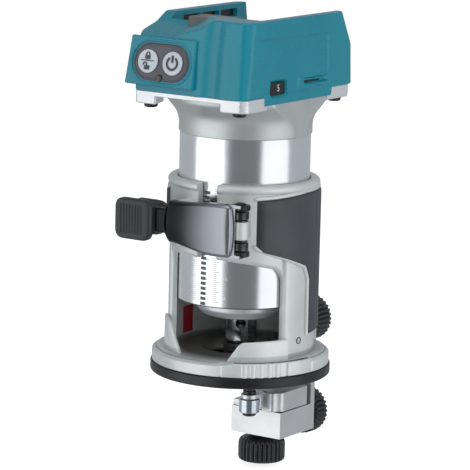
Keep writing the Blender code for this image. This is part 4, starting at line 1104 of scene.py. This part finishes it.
def knob(centre, direction, radius=12.0, length=13.0, neck=6.5, flutes=30, depth=0.9):
    """A fluted knob along a direction from its neck: a coned shoulder, sides whose radius falls by depth
    times the fourth power of a cosine at each flute, a rolled rim and a shallow dished end."""
    rise = length * 0.18
    profile = [(0, 0), (neck, 0), (neck, rise * 0.6), (radius * 0.86, rise * 1.25),
               (radius * 0.94, rise * 1.5), (radius * 0.985, rise * 1.9), (radius, rise * 2.3),
               (radius, length * 0.7), (radius, length - 1.6), (radius - 0.3, length - 0.8),
               (radius - 0.9, length - 0.25), (radius - 1.7, length), (radius * 0.72, length),
               (radius * 0.66, length - 0.4), (0, length - 0.45)]

    def fluted(r, angle, height):
        band = np.clip((r - radius * 0.84) / (radius * 0.12), 0, 1)
        wave = np.cos(angle * flutes / 2) ** 4
        return r - depth * wave * band, angle, height

    return facing(turned(profile, flutes * 12, False, fluted), direction, centre)


knob_black = skinned("knob_black", (0.006, 0.006, 0.007), (0.012, 0.012, 0.013), 0.22, 0.36, grain=2000,
                     coat=0.15)
lay("depth_knob", [knob((-19.6, PINION_Y, PINION_Z), (-1, 0, 0), 8.7, 19.4, 4.2, 24, 0.6)], knob_black,
    "pinion",
    ["adjusting_knob"], sharp=50)


# ---- Trimming guide ----
# A machined holder hangs from the rear boss by a clamp screw. An arm slides in it, moved by a long screw
# and locked from below, and carries a hardened roller that runs along the workpiece's edge.

guide_silver = skinned("guide_silver", (0.62, 0.63, 0.64), (0.70, 0.71, 0.72), 0.3, 0.42, metallic=0.8,
                       mottle=70, grain=900, height=0.00002)
bright_zinc = turned_metal("bright_zinc", (0.55, 0.57, 0.6), (0.66, 0.68, 0.71), 0.2, 0.32)
softened("guide_holder", "holder_bracket", guide_silver, "base", 0.8)
ROLLER_Y, ROLLER_R = 9.3, 5.2
ARM_PLAN = [(-12.4, 44.4), (-12.4, 21.0), (-9.0, 17.6), (-4.6, 17.2), (-3.8, 18.6), (1.2, 18.8),
            (2.2, 17.0), (8.6, 16.8),
            (10.2, 19.2), (12.4, 21.2), (12.4, 44.4)]
tongue = np.concatenate(([(-4.4, 19.5)], circle(4.4, (0, ROLLER_Y), 32)[16:], [(4.4, ROLLER_Y), (4.4, 19.5)]))
lay("sliding_arm",
    [slab(ARM_PLAN, -24.2, -14.2, edge=0.5, corner=1.6), slab(tongue, -16.4, -14.2, edge=0.2, corner=0),
                    block((-3, 31, -34.7), (5, 38, -23), 0.5, 1.0)],
    guide_silver, "guide_arm", ["guide_arm"], sharp=40)
roller = turned(rounded([(2.3, -23.6), (ROLLER_R, -23.6), (ROLLER_R, -16.6), (2.3, -16.6)], 0.5), 120, True)
roller_steel = turned_metal("roller_steel", (0.45, 0.5, 0.55), (0.55, 0.6, 0.65), 0.14, 0.24)
lay("edge_roller", [shifted(roller, (0, ROLLER_Y, 0))], roller_steel, "guide_roller", ["guide_roller"])
pin = turned([(0, -13.1), (1.0, -13.1), (1.3, -12.3), (2.7, -12.2), (3.2, -12.6), (3.3, -13.9), (1.9, -13.9),
              (1.9, -24.3), (3.4, -24.3), (3.4, -25.0), (3.0, -25.4), (0, -25.4)], 64)
lay("roller_screw", [shifted(pin, (0, ROLLER_Y, 0))], dark_steel, "guide_arm", ["roller_pin"])
dress(bright_zinc, "adjusting_screw", "holder_clamp_stud", "guide_clamp_stud")
for name, centre, direction, radius, length, neck, body, node in (
        ("guide_adjusting_knob", (1.0, 50.6, -31.0), (0, 1, 0), 12.3, 12.6, 6.0, "adjusting_screw",
         "adjusting_screw_knob"),
        ("holder_knob", (0.0, 50.6, 17.0), (0, 1, 0), 11.8, 16.2, 6.5, "holder_clamp", "holder_clamp_knob"),
        ("arm_clamp_knob", (-6.0, 30.4, -38.3), (0, 0, -1), 12.0, 15.0, 6.5, "guide_clamp",
         "guide_clamp_knob")):
    lay(name, [knob(centre, direction, radius, length, neck)], knob_black, body, [node],
        sharp=50)


# ---- Floor, light and camera ----
# A pale floor under a white surround. Two tall soft lights stand left and right, one hangs overhead, and a
# fill light and a dark screen stand between them. The camera stands well back with a long lens.


def stage_sheet(name, corners, base, roughness, specular, glow, strength):
    """A flat sheet of the stage with a faint glow of its own; it throws no light or shadow on the tool."""
    finish = bpy.data.materials.new(name + "_finish")
    finish.use_nodes = True
    shader = finish.node_tree.nodes["Principled BSDF"]
    for label, value in (("Base Color", (*base, 1)), ("Roughness", roughness),
                         ("Specular IOR Level", specular),
                         ("Emission Color", (*glow, 1)), ("Emission Strength", strength)):
        shader.inputs[label].default_value = value
    mesh = bpy.data.meshes.new(name)
    mesh.from_pydata(corners, [], [(0, 1, 2, 3)])
    mesh.materials.append(finish)
    sheet = add_object(name, mesh)
    sheet.visible_diffuse = sheet.visible_shadow = False
    return sheet


FLOOR_Z = -0.056
floor = stage_sheet("floor", [(-4, -4, FLOOR_Z), (4, -4, FLOOR_Z), (4, 4, FLOOR_Z), (-4, 4, FLOOR_Z)],
                    (0.95, 0.95, 0.95), 0.8, 0.5, (1, 1, 1), 0.78)
floor.visible_glossy = False

# The dark upright screen between the two tall lights is seen only in the polished metal.
screen = stage_sheet("dark_screen", [(0.19, -1.55, -1.2), (1.45, -0.78, -1.2), (1.45, -0.78, 1.3),
                                     (0.19, -1.55, 1.3)], (0, 0, 0), 0.5, 0, (0.92, 0.96, 1), 0.2)
screen.visible_camera = False

world = bpy.data.worlds.new("surround")
world.use_nodes = True
tree = world.node_tree
seen, dim, white, mix = (tree.nodes.new("ShaderNodeLightPath"), tree.nodes["Background"],
                         tree.nodes.new("ShaderNodeBackground"), tree.nodes.new("ShaderNodeMixShader"))
dim.inputs["Color"].default_value = (0.9, 0.95, 1.0, 1)
SURROUND_GLOW = 0.24   # for every ray but the camera's, and as much again for reflections
glow = tree.nodes.new("ShaderNodeMath")
glow.operation = "MULTIPLY_ADD"
glow.inputs[1].default_value = SURROUND_GLOW
glow.inputs[2].default_value = SURROUND_GLOW
tree.links.new(seen.outputs["Is Glossy Ray"], glow.inputs[0])
tree.links.new(glow.outputs["Value"], dim.inputs["Strength"])
white.inputs["Color"].default_value = (1, 1, 1, 1)
white.inputs["Strength"].default_value = 1.0
tree.links.new(seen.outputs["Is Camera Ray"], mix.inputs["Fac"])
tree.links.new(dim.outputs["Background"], mix.inputs[1])
tree.links.new(white.outputs["Background"], mix.inputs[2])
tree.links.new(mix.outputs["Shader"], tree.nodes["World Output"].inputs["Surface"])
bpy.context.scene.world = world
bpy.context.scene.view_settings.view_transform = "Standard"

EYE = Vector((0.8335, -1.2219, 0.3396))
AIM = Vector((0.0, 0.0, 0.09))


def softbox(name, azimuth, elevation, distance, wide, tall, power, glossy=True):
    """A rectangular light aimed at the tool; its azimuth is from the front, positive towards +X."""
    turn, rise = math.radians(azimuth), math.radians(elevation)
    away = Vector((math.sin(turn) * math.cos(rise), -math.cos(turn) * math.cos(rise), math.sin(rise)))
    light = bpy.data.lights.new(name, "AREA")
    light.shape, light.size, light.size_y, light.energy = "RECTANGLE", wide, tall, power
    lamp = add_object(name, light)
    lamp.location = AIM + away * distance
    lamp.rotation_euler = (-away).to_track_quat("-Z", "Y").to_euler()
    lamp.visible_glossy = glossy


softbox("left_light", -30, -6, 1.5, 1.7, 2.2, 12)
softbox("right_light", 90, -6, 1.5, 1.45, 2.2, 7.5)
softbox("top_light", 20, 72, 1.4, 1.2, 1.2, 4.5)
softbox("fill_light", 66, 8, 1.6, 1.5, 1.5, 10, glossy=False)

# Lengths here are shares of the frame's width: the focal length, and how far the aim point stands to the
# right of and above the frame's middle.
ROLL = math.radians(1.373)
FOCAL, AIM_RIGHT, AIM_UP = 6.430596, 0.0192766, 0.0905745
ahead = (AIM - EYE).normalized()
right = ahead.cross(Vector((0, 0, 1))).normalized()
rise = right.cross(ahead)
right, rise = (right * math.cos(ROLL) + rise * math.sin(ROLL),
               rise * math.cos(ROLL) - right * math.sin(ROLL))
look = (ahead * FOCAL - right * AIM_RIGHT - rise * AIM_UP).normalized()
side = look.cross(rise).normalized()
lift = side.cross(look)
camera_data = bpy.data.cameras.new("camera")
camera_data.sensor_width = 36.0
camera_data.lens = FOCAL * camera_data.sensor_width
camera_data.clip_start, camera_data.clip_end = 0.05, 20
camera = add_object("camera", camera_data)
camera.matrix_world = Matrix((side, lift, -look)).transposed().to_4x4()
camera.location = EYE
bpy.context.scene.camera = camera
